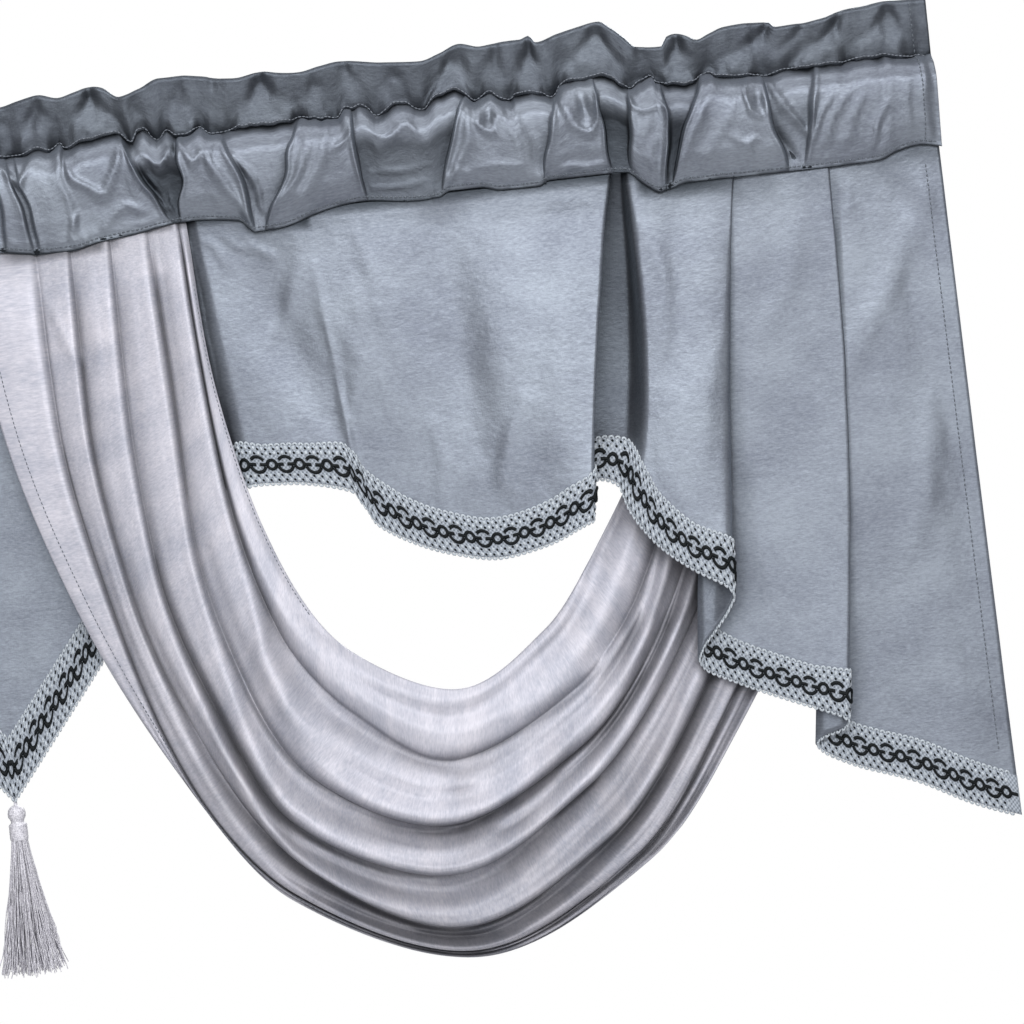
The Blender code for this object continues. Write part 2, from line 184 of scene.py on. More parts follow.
FLOOR_HEIGHT = -2.1
FLOOR_CORNERS = ((-4, -4), (4, -4), (4, 2), (-4, 2))
floor_mesh = bpy.data.meshes.new("floor")
floor_mesh.from_pydata([(x, y, FLOOR_HEIGHT) for x, y in FLOOR_CORNERS], [], [(0, 1, 2, 3)])
paint, tree = new_finish("pale_floor")
shade(tree, {"Base Color": (0.82, 0.82, 0.83, 1), "Roughness": 0.9})
floor_mesh.materials.append(paint)
put("floor", floor_mesh)
print("floor at", FLOOR_HEIGHT, "m")

# %% [markdown]
# ## Finishes
#
# Satin and braid are built from nodes. Each cloth has a UV map in metres, laid along its own
# threads, so the weave follows every fold and stays the same size everywhere. The weft of this
# satin shows as fine streaks a millimetre or so high and a few centimetres long. They change both
# the colour and the gloss a little, and the light and dark of the folds do the rest.


# %% Noise and colour ramps
def streaks(tree, place, scale, detail=3.0, rough=0.55):
    """Noise drawn out along the weft: scale gives how many streaks a metre along and across."""
    stretched = tree.out("ShaderNodeMapping", {"Vector": place, "Scale": scale})
    noise = {"Vector": stretched, "Scale": 1.0, "Detail": detail, "Roughness": rough}
    return tree.add("ShaderNodeTexNoise", noise).outputs["Fac"]


def tone(tree, value, low, high, dark, light):
    """Maps a grey value between two limits to a colour between two colours."""
    ramp = tree.add("ShaderNodeValToRGB", {"Fac": value})
    for stop, at, colour in zip(ramp.color_ramp.elements, (low, high), (dark, light)):
        stop.position, stop.color = at, (*colour, 1)
    return ramp.outputs["Color"]


def between(tree, value, low, high, bottom, top):
    limits = {"Value": value, "From Min": low, "From Max": high, "To Min": bottom, "To Max": top}
    return tree.out("ShaderNodeMapRange", limits)


# %% Satin
FOLD_RANGE = (0.04, 0.90)  # open shares, raised to their power, of the darkest and of unshaded cloth
STREAK_RANGE = (0.38, 0.62)  # nearly all of the streaks' grey lies between these
CLOUD = 1.8  # how much the broad clouds count beside one layer of streaks
WARP = (1500, 60, 1)  # bumps a metre along and across the weft, for the threads that run down
CRINKLE = (95, 130, 1)  # and for the crinkled skin


def paint_fold_shade(tree, colour, deepest, power):
    """Paints shade into a colour deep in the folds, where a measured share called open is low."""
    open_share = tree.add("ShaderNodeAttribute", attribute_name="open").outputs["Fac"]
    level = between(tree, tree.reckon("POWER", open_share, power), *FOLD_RANGE, deepest, 1.0)
    grey = tree.out("ShaderNodeCombineColor", {0: level, 1: level, 2: level})
    mix = {0: 1.0, "A": colour, "B": grey}
    return tree.add("ShaderNodeMix", mix, data_type="RGBA", blend_type="MULTIPLY").outputs[2]


def satin(name, dark, light, gloss, lustre, crisp, weft, broad, folds, sheen_tint):
    """Crisp satin: streaks along the weft, a crinkled skin, and shade painted into its colour in the folds.
    """
    made, tree = new_finish(name)
    place = tree.out("ShaderNodeUVMap", uv_map="threads")
    fine = streaks(tree, place, weft)
    slub = streaks(tree, place, (weft[0] * 0.5, weft[1] * 0.5, 1), 4.0, 0.6)
    cloud = streaks(tree, place, broad, 3.0, 0.55)
    thread = tree.reckon("ADD", fine, slub)
    level = tree.reckon("MULTIPLY_ADD", cloud, CLOUD, thread)
    level = tree.reckon("MULTIPLY", level, 1 / (2 + CLOUD))
    # painted shade: the colour is darkened deep in the folds, where the open share is low
    colour = paint_fold_shade(tree, tone(tree, level, *STREAK_RANGE, dark, light), *folds)
    relief = tree.reckon("ADD", thread, streaks(tree, place, WARP, 1.0))
    weave = tree.out("ShaderNodeBump", {"Height": relief, "Strength": 0.13, "Distance": 0.0004})
    crinkle = streaks(tree, place, CRINKLE, 4.0, 0.6)
    skin = {"Height": crinkle, "Strength": crisp, "Distance": 0.0030, "Normal": weave}
    shade(tree, {
        "Base Color": colour,
        "Roughness": between(tree, thread, 0.6, 1.4, gloss + 0.04, gloss - 0.04),
        "Metallic": lustre,
        "Normal": tree.out("ShaderNodeBump", skin),
        "Sheen Weight": 0.10,
        "Sheen Roughness": 0.45,
        "Sheen Tint": (*sheen_tint, 1),
        "Specular Tint": (*sheen_tint, 1),
    })
    return made


# folds sets the painted shade in the folds: the colour's darkest level, and the power of the open share
STEEL = satin(
    "steel_blue_satin", (0.130, 0.141, 0.172), (0.212, 0.234, 0.270), 0.39, 0.36, 0.18,
    weft=(280, 800, 1), broad=(13, 17, 1), folds=(0.04, 2.3), sheen_tint=(0.70, 0.83, 1.0),
)
LILAC = satin(
    "lilac_silver_satin", (0.365, 0.375, 0.44), (0.575, 0.56, 0.615), 0.50, 0.08, 0.15,
    weft=(900, 260, 1), broad=(30, 9, 1), folds=(0.18, 2.3), sheen_tint=(0.92, 0.93, 1.0),
)


# %% Yarns
def yarn(name, dark, light, roughness, scale, sheen=0.12, shine=0.5):
    """Spun thread: fine mottling in colour and relief."""
    made, tree = new_finish(name)
    noise = {"Vector": tree.add("ShaderNodeTexCoord").outputs["Object"], "Scale": scale, "Detail": 3.0}
    fine = tree.add("ShaderNodeTexNoise", noise).outputs["Fac"]
    shade(tree, {
        "Base Color": tone(tree, fine, 0.35, 0.65, dark, light),
        "Roughness": roughness,
        "Normal": tree.out("ShaderNodeBump", {"Height": fine, "Strength": 0.4, "Distance": 0.0003}),
        "Sheen Weight": sheen,
        "Specular IOR Level": shine,
    })
    return made


ICE_YARN = yarn("ice_yarn", (0.29, 0.325, 0.37), (0.59, 0.635, 0.68), 0.62, 1700)
DARK_CORD = yarn("dark_cord", (0.001, 0.0015, 0.002), (0.010, 0.013, 0.015), 0.55, 1400, 0.0, 0.12)
PALE_THREAD = yarn("pale_steel_thread", (0.07, 0.08, 0.10), (0.20, 0.22, 0.26), 0.50, 900)
STEEL_THREAD = yarn("steel_thread", (0.05, 0.06, 0.075), (0.13, 0.15, 0.18), 0.45, 1500)
TASSEL_THREAD = yarn("tassel_thread", (0.38, 0.37, 0.42), (0.76, 0.75, 0.80), 0.36, 900)
print("finishes:", [material.name for material in bpy.data.materials])


# %% [markdown]
# ## Sheets of cloth
#
# Every cloth here is one grid of points laid over a drape that a few tables describe. A table
# row says where a fold starts at the seam and where it ends at the hem, and a smooth curve runs
# through the rows. That is quicker to aim than a simulation, and it gives the same folds each
# time. Fine creases are added on top as strokes, and the sheet then gets its thickness.


# %% Curves through tables
def through(keys, values, at):
    """A smooth curve through the rows of a table that never swings past them."""
    keys, values, at = (np.asarray(given, float) for given in (keys, values, at))
    steps = np.diff(keys)
    rises = np.diff(values) / steps
    same_way = rises[:-1] * rises[1:] > 0
    total = np.where(same_way, rises[:-1] + rises[1:], 1.0)
    inner = np.where(same_way, 2 * rises[:-1] * rises[1:] / total, 0.0)
    slopes = np.concatenate(([rises[0]], inner, [rises[-1]]))
    k = np.clip(np.searchsorted(keys, at) - 1, 0, len(steps) - 1)
    s = (at - keys[k]) / steps[k]
    from_values = (1 + 2 * s) * (1 - s) ** 2 * values[k] + s * s * (3 - 2 * s) * values[k + 1]
    from_slopes = s * (1 - s) ** 2 * slopes[k] + s * s * (s - 1) * slopes[k + 1]
    return from_values + steps[k] * from_slopes


def ease(low, high, x):
    """0 below low, 1 above high, and a soft step between."""
    s = np.clip((np.asarray(x, float) - low) / (high - low), 0, 1)
    return s * s * (3 - 2 * s)


ROUGH_TILE = 64  # the random values come again after this many bumps


def rough_field(a, b, size_a, size_b, seed):
    """Smooth random values from -1 to 1 over two coordinates, with bumps of about the given sizes."""
    values = np.random.default_rng(seed).uniform(-1, 1, (ROUGH_TILE, ROUGH_TILE))
    u, v = np.asarray(a, float) / size_a, np.asarray(b, float) / size_b
    i, j = np.floor(u).astype(int), np.floor(v).astype(int)
    s, t = u - i, v - j
    s, t = s * s * (3 - 2 * s), t * t * (3 - 2 * t)
    corner = [[values[(i + di) % ROUGH_TILE, (j + dj) % ROUGH_TILE] for dj in (0, 1)] for di in (0, 1)]
    near = corner[0][0] * (1 - t) + corner[0][1] * t
    far = corner[1][0] * (1 - t) + corner[1][1] * t
    return near * (1 - s) + far * s


# %% Strokes: creases and ridges drawn on a cloth
def walked(steps):
    """How far a walk has come at its start and after each of its steps."""
    return np.concatenate(([0], np.cumsum(steps)))


def stroke_relief(a, b, strokes):
    """How far strokes lift a cloth at places (a, b). Each is a line of places, a height, and the
    width of its flank on the left and on the right of the line."""
    lift = np.zeros(np.shape(a))
    for line, height, left, right in strokes:
        line = np.asarray(line, float)
        lengths = np.hypot(*np.diff(line, axis=0).T)
        gone = walked(lengths)
        best = np.full(np.shape(a), np.inf)
        side = np.zeros(np.shape(a))
        along = np.zeros(np.shape(a))
        for start, end, length, before in zip(line, line[1:], lengths, gone):
            da, db = (end - start) / length
            s = np.clip((a - start[0]) * da + (b - start[1]) * db, 0, length)
            oa, ob = a - start[0] - s * da, b - start[1] - s * db
            off = np.hypot(oa, ob)
            closer = off < best
            best = np.where(closer, off, best)
            side = np.where(closer, da * ob - db * oa, side)
            along = np.where(closer, (before + s) / gone[-1], along)
        width = np.where(side > 0, right, left)
        taper = np.sin(math.pi * (0.12 + 0.76 * along)) ** 0.7
        lift += height * taper * np.exp(-((best / width) ** 2))
    return lift


# %% Thread directions as UV maps
def threads_uv(points):
    """Distances in metres along the two thread directions of a grid of points in millimetres."""
    across = np.linalg.norm(np.diff(points, axis=1), axis=2).mean(axis=0)
    down = np.linalg.norm(np.diff(points, axis=0), axis=2).mean(axis=1)
    return np.stack(np.meshgrid(walked(across) * MM, walked(down) * MM), 2)


def level_uv(points):
    """Thread distances for a cloth whose weft hangs level: along each row, and down by height."""
    steps = np.hypot(*np.diff(points[..., :2], axis=1).transpose(2, 0, 1))
    u = np.array([walked(row) for row in steps])
    return np.stack([u, -points[..., 2]], 2) * MM


# %% From a grid of points to a sheet
def quads_of(rows, columns):
    """The corners of each quad in a grid of points, row after row."""
    index = np.arange(rows * columns).reshape(rows, columns)
    return np.stack([index[:-1, :-1], index[1:, :-1], index[1:, 1:], index[:-1, 1:]], 2).reshape(-1, 4)


def grid_mesh(name, points, finish, uv=None):
    """A quad mesh over rows and columns of points, facing the room, with its threads as UV."""
    quads = quads_of(*points.shape[:2])
    mesh = bpy.data.meshes.new(name)
    mesh.from_pydata(points.reshape(-1, 3) * MM, [], quads.tolist())
    layer = mesh.uv_layers.new(name="threads")
    uv = (threads_uv(points) if uv is None else uv).reshape(-1, 2)
    layer.data.foreach_set("uv", uv[quads.reshape(-1)].astype(np.float32).ravel())
    mesh.shade_smooth()
    mesh.materials.append(finish)
    return put(name, mesh)


def settle(piece):
    """Turns what the modifiers make into a plain mesh and takes the modifiers off."""
    bpy.context.view_layer.update()
    graph = bpy.context.evaluated_depsgraph_get()
    made = bpy.data.meshes.new_from_object(
        piece.evaluated_get(graph), preserve_all_data_layers=True, depsgraph=graph
    )
    old = piece.data
    piece.modifiers.clear()
    piece.data = made
    made.name = piece.name
    bpy.data.meshes.remove(old)
    return piece


def sheet(name, points, thickness, finish, grows=0.0, uv=None):
    """A sheet of cloth over a grid of points, which run through its middle unless it grows to one side."""
    made = grid_mesh(name, points, finish, uv)
    cloth = made.modifiers.new("cloth", "SOLIDIFY")
    cloth.thickness = thickness * MM
    cloth.offset = grows
    return settle(made)


# %% Normals, mirror images and finished pieces
def area_of(piece):
    """Half the surface of a thin closed sheet, in square metres."""
    return sum(polygon.area for polygon in piece.data.polygons) / 2


def normals_of(points):
    """Unit normals, towards the room, at a grid of points."""
    across, down = np.gradient(points, axis=1), np.gradient(points, axis=0)
    normals = np.cross(down, across)
    return normals / np.maximum(np.linalg.norm(normals, axis=2, keepdims=True), 1e-9)


def mirrored(points):
    """The same cloth on the left, with its columns turned round so that it still faces the room."""
    return points[:, ::-1] * np.array((-1.0, 1.0, 1.0))


def keep(piece, slot_name, *nodes):
    """Attaches a finished piece to the valance's body, hides the CAD nodes that it stands for, and prints its
    triangles.
    """
    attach(piece, "root")
    if nodes:
        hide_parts(*nodes)
    triangles = sum(len(polygon.vertices) - 2 for polygon in piece.data.polygons)
    print(f"{piece.name}: {triangles} triangles")
    return piece


# %% [markdown]
# ## The heading
#
# A maker folds one wide strip of satin over, and stitches it twice. The first seam leaves a header
# ruffle above, and the second makes the pocket that the rod goes through. Pushed on its rod the
# strip crowds up, so the ruffle waves and the pocket pulls into slanting drag folds between smooth
# stretches. The rod is not there, but its roundness shows, so the pocket keeps it. The tables give
# the edges first, then the waves of the ruffle, then the folds of the pocket as strokes.

# %% Edges of the heading, from its middle to its right end
HALF_WIDTH = 762.0
SEAM_HEIGHT = -104.0

TOP_EDGE = (
    # x, z
    (0, -3), (25, 2), (49, -5), (64, -2), (80, 0.6), (95, -3), (107, 0), (119, 3), (127, 1.6), (141, -7.3),
    (157, -3.3), (173, 3.3), (188, 3.5), (204, 1.4), (219, -2), (230, -3), (250, -0.3), (265, -2.7),
    (279, -4), (296, -1), (312, 1), (342, -3.3), (372, -6), (388, -1.5), (404, 4), (419, 0), (435, 1.7),
    (450, 2), (457, 4.3), (462, -1.3), (481, 3.4), (497, 7), (511, 9), (520, 3), (530, -6), (537, -13),
    (558, -15), (563, -8), (569, -6.4), (576, -9), (584, -13), (592, -9.7), (604, -5.7), (619, -4.7),
    (642, -6), (644, -10), (665, -9.4), (681, -7.4), (696, -3), (712, -1.6), (728, 0), (762, -1),
)
UPPER_SEAM = (
    # x, z
    (0, -39), (25, -41), (45, -40.4), (60, -41.3), (75, -37.5), (84, -40.5), (92, -35), (95, -40),
    (111, -34.7), (123, -33), (137, -32), (147, -41), (152, -32.4), (158, -30.7), (162, -38), (167, -41),
    (173, -34.7), (184, -40), (192, -38.3), (200, -34.6), (205, -39), (211, -41), (222, -39.5),
    (238, -37.4), (269, -37.7), (278, -36.5), (296, -39), (305, -40), (312, -32.6), (317, -34),
    (323, -31), (329, -34.5), (334, -41), (342, -38), (350, -33), (358, -34), (365, -39.3), (372, -41),
    (379, -33), (385, -31), (397, -28), (404, -31.4), (411, -38.3), (423, -33), (430, -38), (438, -41.3),
    (442, -37), (454, -36), (472, -42), (477, -33.4), (485, -30.5), (501, -30), (509, -28.4),
    (519, -34.3), (530, -41.7), (538, -37), (547, -33.5), (550, -40), (576, -43), (582, -40), (592, -37),
    (596, -40.5), (626, -42.4), (634, -44), (646, -41.5), (661, -41), (684, -40.5), (708, -39),
    (723, -38.6), (742, -41.5), (762, -41.7),
)
LOWER_SEAM = (
    # x, z
    (0, -112), (38, -114.3), (69, -118.4), (92, -118.7), (115, -114.4), (146, -111), (173, -106.4),
    (185, -106), (223, -110.4), (228, -116.3), (233, -120), (253, -119), (268, -115.5), (284, -110.4),
    (300, -107), (316, -105.5), (361, -110), (376, -109), (385, -105), (408, -105), (423, -109),
    (453, -109.4), (461, -105.5), (477, -105.5), (500, -105.5), (509, -105.5), (521, -106.3),
    (529, -113.4), (536, -119.5), (544, -124), (553, -122), (567, -119), (609, -119.3), (667, -119.6),
    (713, -118.6), (729, -112.7), (745, -110), (762, -113),
)

print(len(TOP_EDGE), len(UPPER_SEAM), len(LOWER_SEAM), "places along the three edges")


# %% Reading the edges
UNEVEN = 9.0  # how far the gathers of the left half lie from those of the right one


def gather_place(x):
    """Where the tables hold the gather at x: the left half repeats the right one a little unevenly."""
    x = np.asarray(x, float)
    away = np.abs(x)
    uneven = away + UNEVEN * np.sin(away / 70.0) * ease(0, 60, away)
    return np.minimum(np.where(x >= 0, away, uneven), HALF_WIDTH)


def edge_height(x, table):
    return through(*zip(*table), gather_place(x))


# %% Waves of the ruffle and folds of the pocket
RUFFLE_FANS = (
    # apex x at the top edge, left and right end of its foot at the seam, how strong it is
    (20, 2, 38, 0.9), (49, 42, 55, 0.7), (81, 58, 87, 1), (118, 96, 140, 1), (151, 144, 158, 0.6),
    (188, 173, 199, 1), (211, 206, 216, 0.5), (249, 226, 275, 1), (289, 277, 301, 0.9), (316, 306, 327, 0.6),
    (352, 338, 364, 0.7), (403, 374, 410, 1), (431, 416, 439, 0.8), (456, 443, 468, 1), (511, 477, 528, 1),
    (540, 533, 547, 0.6), (569, 552, 583, 1), (641, 590, 628, 1), (666, 634, 652, 0.5), (695, 656, 693, 1),
    (735, 698, 747, 0.9),
)
GATHERS = (
    # where an edge leaves the upper seam and meets the lip, how far the cloth to its right stands out
    # from the rod, and how wide the step is
    (20, 24, 0, 3), (38, 43, 4, 2.5), (48.6, 64, 1.0, 2), (56, 69, 4, 2.5), (93.7, 107, 2.5, 5),
    (138.9, 171, -8, 2), (181.7, 177, 6, 1.6), (215, 233.5, 0, 3), (276.7, 240, 5.5, 2),
    (316.2, 322, -5, 2), (405, 377.3, 5, 2), (438, 458, 1.5, 16), (472, 457, 6, 1.8), (502.6, 509.5, -9, 2),
    (528.8, 523, 5, 1.6), (553.6, 549, -5, 1.8), (583.6, 552, 6, 2.2), (631.3, 644.5, -1.5, 2.5),
    (670.7, 655, 3, 4), (727.3, 715.5, 4, 7), (757, 757, 1, 4),
)
POCKET_FOLDS = (
    # places x, z down the fold, height, width of its left flank and of its right flank
    (((30, -47), (37, -62), (44, -50)), 2.6, 2.4, 2.4),
    (((44, -50), (61, -66), (72, -47)), 2.8, 2.6, 2.6),
    (((99, -50), (106, -66), (121, -82), (134.6, -56), (140, -40)), 3.0, 2.6, 2.6),
    (((100, -118), (96, -108), (104, -92)), 1.5, 2, 2),
    (((120, -104), (128, -96), (140, -88), (150, -96)), 2.0, 2.4, 2.0),
    (((141, -42), (149, -62), (167, -95)), 3.0, 1.8, 1.6),
    (((150, -50), (160, -70), (172, -96)), 2.4, 1.7, 1.7),
    (((154.5, -48), (162, -59.4), (170, -62.5), (178, -46)), 2.6, 1.8, 1.8),
    (((183, -44), (191, -65), (203, -53), (208, -45)), 2.4, 2.4, 2.4),
    (((211, -44), (204, -62), (215, -86), (228.6, -110)), 2.6, 2.0, 2.4),
    (((222, -60), (232, -80), (241, -104)), 2.2, 2.2, 2.0),
    (((282, -44), (279, -62), (262, -90), (246, -108)), 2.0, 3.5, 3.5),
    (((296, -45), (286, -74), (270, -104)), 1.8, 5, 7),
    (((300, -66), (312, -60), (318, -52)), 2.0, 2.2, 2.2),
    (((336, -56), (344, -63), (353, -54), (357, -48), (364.6, -60)), 2.6, 2.0, 2.0),
    (((330, -84), (352, -86), (372, -83)), 0.9, 2.0, 2.0),
    (((328, -96), (350, -98), (368, -95)), 0.9, 1.8, 1.8),
    (((408, -48), (404, -70), (388, -96)), 1.8, 3.5, 3.5),
    (((414, -46), (414, -58.5), (422, -67), (427.5, -55.6), (432, -51)), 3.0, 1.8, 1.8),
    (((423, -48), (423, -60)), -3.5, 3.0, 3.0),
    (((401, -96), (394, -90), (386, -96), (382, -105)), 1.8, 2, 2),
    (((400, -92), (420, -90), (442, -93)), 0.9, 2.0, 2.0),
    (((475, -48), (482, -68), (492, -76), (500, -66), (505, -42)), 3.2, 1.9, 1.9),
    (((490, -46), (491, -62)), -4.0, 4.5, 4.5),
    (((468, -105), (476, -97), (490, -100), (505, -98)), 2.0, 2.2, 2.4),
    (((527, -46), (530, -58), (536, -63), (547, -58), (552, -64), (552, -81), (547, -114)), 3.0, 1.8, 1.8),
    (((538, -66), (533, -80), (530, -100)), 1.6, 2.4, 3.0),
    (((540, -84), (536, -96), (540, -108)), 1.6, 2.0, 2.2),
    (((588, -48), (577, -78), (560, -112)), 1.4, 2.5, 4.0),
    (((606, -52), (596, -76), (580, -108)), 1.0, 2.5, 3.5),
    (((618, -49), (614, -60), (618, -70), (628, -76)), 2.6, 2.2, 2.0),
    (((626, -60), (628, -70)), -3.0, 5, 5),
    (((600, -88), (610, -96), (622, -92)), 1.4, 2.0, 2.0),
    (((612, -112), (614, -98), (624, -92)), 1.4, 1.8, 2.0),
    (((632.6, -44), (644, -68), (658, -91)), 3.2, 1.8, 2.0),
    (((636, -78), (642, -96), (650, -112)), -2.0, 3.0, 3.0),
    (((691, -67), (682, -84), (673, -102)), 1.8, 1.9, 1.9),
    (((670, -64), (666, -78), (660, -93)), 1.8, 2.0, 2.2),
    (((681, -66), (672, -82), (664, -98)), 1.6, 1.9, 1.9),
    (((704, -70), (694, -90), (686, -106)), 1.4, 2.2, 2.2),
    (((722, -76), (712, -94), (706, -110)), 1.6, 2.4, 3.0),
    (((740, -60), (742, -84), (741, -108)), 1.0, 3, 3),
)

print(len(RUFFLE_FANS), "fans,", len(GATHERS), "gathers,", len(POCKET_FOLDS), "folds on each half")

# %% How far the gathers and the ruffle stand out
FIRST_GATHER = 4.0
GATHER_RIM = 1.3  # the edge of a gather curls up a little
RIM_WIDTH = 1.7
FAN_OUT = (4.8, 1.6)  # how far a fan of the ruffle stands out at its foot, and how much less on top
LEAN_OUT = (0.2, 9.5)  # how far the ruffle stands out between two fans, and how much more on top


def stand_out(place, share):
    """How far the cloth stands out from the rod at a share of the way from the upper seam to the lip."""
    out, before = np.full(np.broadcast(place, share).shape, FIRST_GATHER), FIRST_GATHER
    for at_seam, at_lip, height, width in GATHERS:
        edge = at_seam + (at_lip - at_seam) * share
        out = out + (height - before) * ease(-0.5 * width, 0.5 * width, place - edge)
        high_side = np.sign(height - before) * (0.5 * width + 1.2)
        rim = GATHER_RIM * min(abs(height - before) / 5, 1)
        out = out + rim * np.exp(-(((place - edge - high_side) / RIM_WIDTH) ** 2))
        before = height
    return out


def ruffle_sway(place, share):
    """How far the ruffle leans forward at a share of the way from the seam to the top edge."""
    fan = np.zeros(np.broadcast(place, share).shape)
    for apex, left, right, strength in RUFFLE_FANS:
        narrow = share**1.5
        wavy = 3.0 * rough_field(place + 5 * apex, share * 30, 7, 9, 44)
        from_left = place - (left + (apex - left) * narrow) + wavy
        from_right = (right + (apex - right) * narrow) - place + wavy
        fan = np.maximum(fan, strength * ease(-4, 7, from_left) * ease(-4, 7, from_right))
    between_fans = LEAN_OUT[0] + LEAN_OUT[1] * share**1.1
    return fan * (FAN_OUT[0] - FAN_OUT[1] * share) + (1 - fan) * between_fans


def seam_pucker(x, away, seed, size=7.0, reach=13.0):
    """Small puckers that run out from a row of stitches and die away."""
    fine = rough_field(x, away, size, 26.0, seed) + 0.6 * rough_field(x, away, size * 0.55, 15.0, seed + 1)
    return 1.5 * fine * np.exp(-np.abs(away) / reach)


# %% Columns of the heading
COLUMN_STEP = 2.2
CROWD = 0.11  # draws the columns towards the edges of the gathers
END_MARGIN = 13.0  # the left end has no columns of the right half nearer to its end than this


def gather_columns():
    """Places of the columns at the upper seam and at the lip, on one half."""
    edges = [(0.0, 0.0), *(row[:2] for row in GATHERS), (HALF_WIDTH, HALF_WIDTH)]
    at_seam, at_lip = [], []
    for (seam_start, lip_start), (seam_end, lip_end) in zip(edges, edges[1:]):
        count = round(0.5 * (seam_end - seam_start + lip_end - lip_start) / COLUMN_STEP) + 3
        along = np.arange(count) / count
        along = along - CROWD * np.sin(2 * math.pi * along)
        at_seam.append(seam_start + (seam_end - seam_start) * along)
        at_lip.append(lip_start + (lip_end - lip_start) * along)
    return np.concatenate([*at_seam, [HALF_WIDTH]]), np.concatenate([*at_lip, [HALF_WIDTH]])


def both_halves(places, keep_left):
    """Columns from the left end to the right end, the left ones at the same gathers as the right ones."""
    away = np.linspace(0, HALF_WIDTH, 3000)
    left = -np.interp(places[keep_left], gather_place(-away), away)
    return np.concatenate([[-HALF_WIDTH], left[::-1], places])


at_seam, at_lip = gather_columns()
keep_left = (at_seam > 0) & (np.maximum(at_seam, at_lip) < HALF_WIDTH - END_MARGIN)
seam_x, lip_x = both_halves(at_seam, keep_left), both_halves(at_lip, keep_left)
HEADING_COLUMNS = len(seam_x)
print(HEADING_COLUMNS, "columns along the heading")


def ragged_seam(x):
    """Height of the upper seam with the small scallops that its gathers make."""
    return edge_height(x, UPPER_SEAM) + 0.9 * rough_field(x, 0 * x, 4.5, 10, 77)


# %% Profiles of the pocket, a tube of satin from the upper seam round to the upper seam
FRONT_PROFILE = (
    # share of the way from the upper seam to the lip, y, share of the gathers' height, y where tight
    (0.0, -1.6, 0.0, -1.6), (0.04, -5.0, 0.35, -4.4), (0.12, -11.8, 0.7, -10.0),
    (0.27, -16.0, 0.85, -13.6), (0.36, -15.2, 1.0, -11.6), (0.48, -13.2, 1.1, -8.0),
    (0.70, -9.2, 1.1, -5.9), (0.86, -7.2, 0.75, -5.9), (0.94, -6.4, 0.4, -5.9), (1.0, -5.9, 0.0, -5.9),
)
TIGHTEST = 9.0  # a gather that lies this far back among the gathers is at the last y of the table
BACK_PROFILE = (
    # z, y, share of the gathers' height, from the lower seam to the upper seam
    (-104.0, 5.4, 0.0), (-91.0, 8.4, 0.3), (-75.0, 13.0, 0.5), (-60.0, 17.0, 0.5), (-50.0, 15.6, 0.4),
    (-43.5, 10.0, 0.2), (-38.0, 1.8, 0.0),
)
CLOTH = 0.9  # thickness of the satin here
SEAM_GROOVE = 0.9  # the lower seam pulls the cloth in
GROOVE_WIDTH = 1.7
GROOVE_HEIGHT = 3.2  # the lower seam's height above the lip
OVER_SWAGS = 0.9  # the lip stands further out where it covers the swags
SWAG_REACH = (175, 190)  # and that ends between these places
FOOT_DEPTH = -4.6  # y of the row that closes the pocket behind the lip
SEAM_LAP = 1.3  # the pocket's back laps over the foot of the ruffle
GATHER_WANDER = 4.5  # how far the edge of a gather strays from a straight line
FOLD_HEIGHT = 1.3  # raises all the folds of the table together
CLEAR_OF_RUFFLE = 1.2  # the front and the back keep this far from the plane of the ruffle
CLEAR_OF_CLOTHS = 4.7  # and the lip stays this much further out, in front of the cloths below
print("the pocket is", BACK_PROFILE[3][1] - FRONT_PROFILE[3][1], "mm thick where it is widest")


# %% The pocket
def pocket_front(share):
    """The pocket's front at shares of the way from the upper seam to the lip, for every column."""
    share = np.asarray(share, float)[:, None]
    straight = seam_x + (lip_x - seam_x) * share
    wander = rough_field(straight, 0 * share, 26, 1, 91) + 0.7 * rough_field(straight, share * 72, 22, 20, 92)
    from_end = HALF_WIDTH - np.abs(straight)
    x = straight + GATHER_WANDER * np.sin(math.pi * share) * wander * ease(0, 12, from_end)
    seam, lip = ragged_seam(x), edge_height(x, LOWER_SEAM)
    z = seam + (lip - seam) * share
    place = gather_place(straight)
    keys, *profile = zip(*FRONT_PROFILE)
    depth, follow, tight_depth = (through(keys, part, share) for part in profile)
    height = stand_out(place, share)
    tight = np.clip(-height / TIGHTEST, 0, 1)
    y = depth - follow * np.maximum(height, 0) + (tight_depth - depth) * tight
    y = y - OVER_SWAGS * ease(0.8, 1.0, share) * (1 - ease(*SWAG_REACH, np.abs(x)))
    held = ease(0.0, 0.08, share) * ease(0.0, 0.06, 1 - share)
    y = y - FOLD_HEIGHT * stroke_relief(place, z, POCKET_FOLDS) * held
    y = y - seam_pucker(x, seam - z, 3) * ease(0, 0.03, share)
    y = y - seam_pucker(x, z - lip, 5, 5.0, 9.0) * ease(0, 0.04, 1 - share)
    y = y + SEAM_GROOVE * np.exp(-(((z - lip - GROOVE_HEIGHT) / GROOVE_WIDTH) ** 2))
    y = y - 0.5 * rough_field(x, z, 16, 30, 9) - 0.25 * rough_field(x + 0.5 * z, z, 6, 22, 10)
    nearest = -CLEAR_OF_RUFFLE - CLEAR_OF_CLOTHS * ease(0.80, 0.90, share)
    return np.stack([x, np.minimum(y, nearest), z], 2)


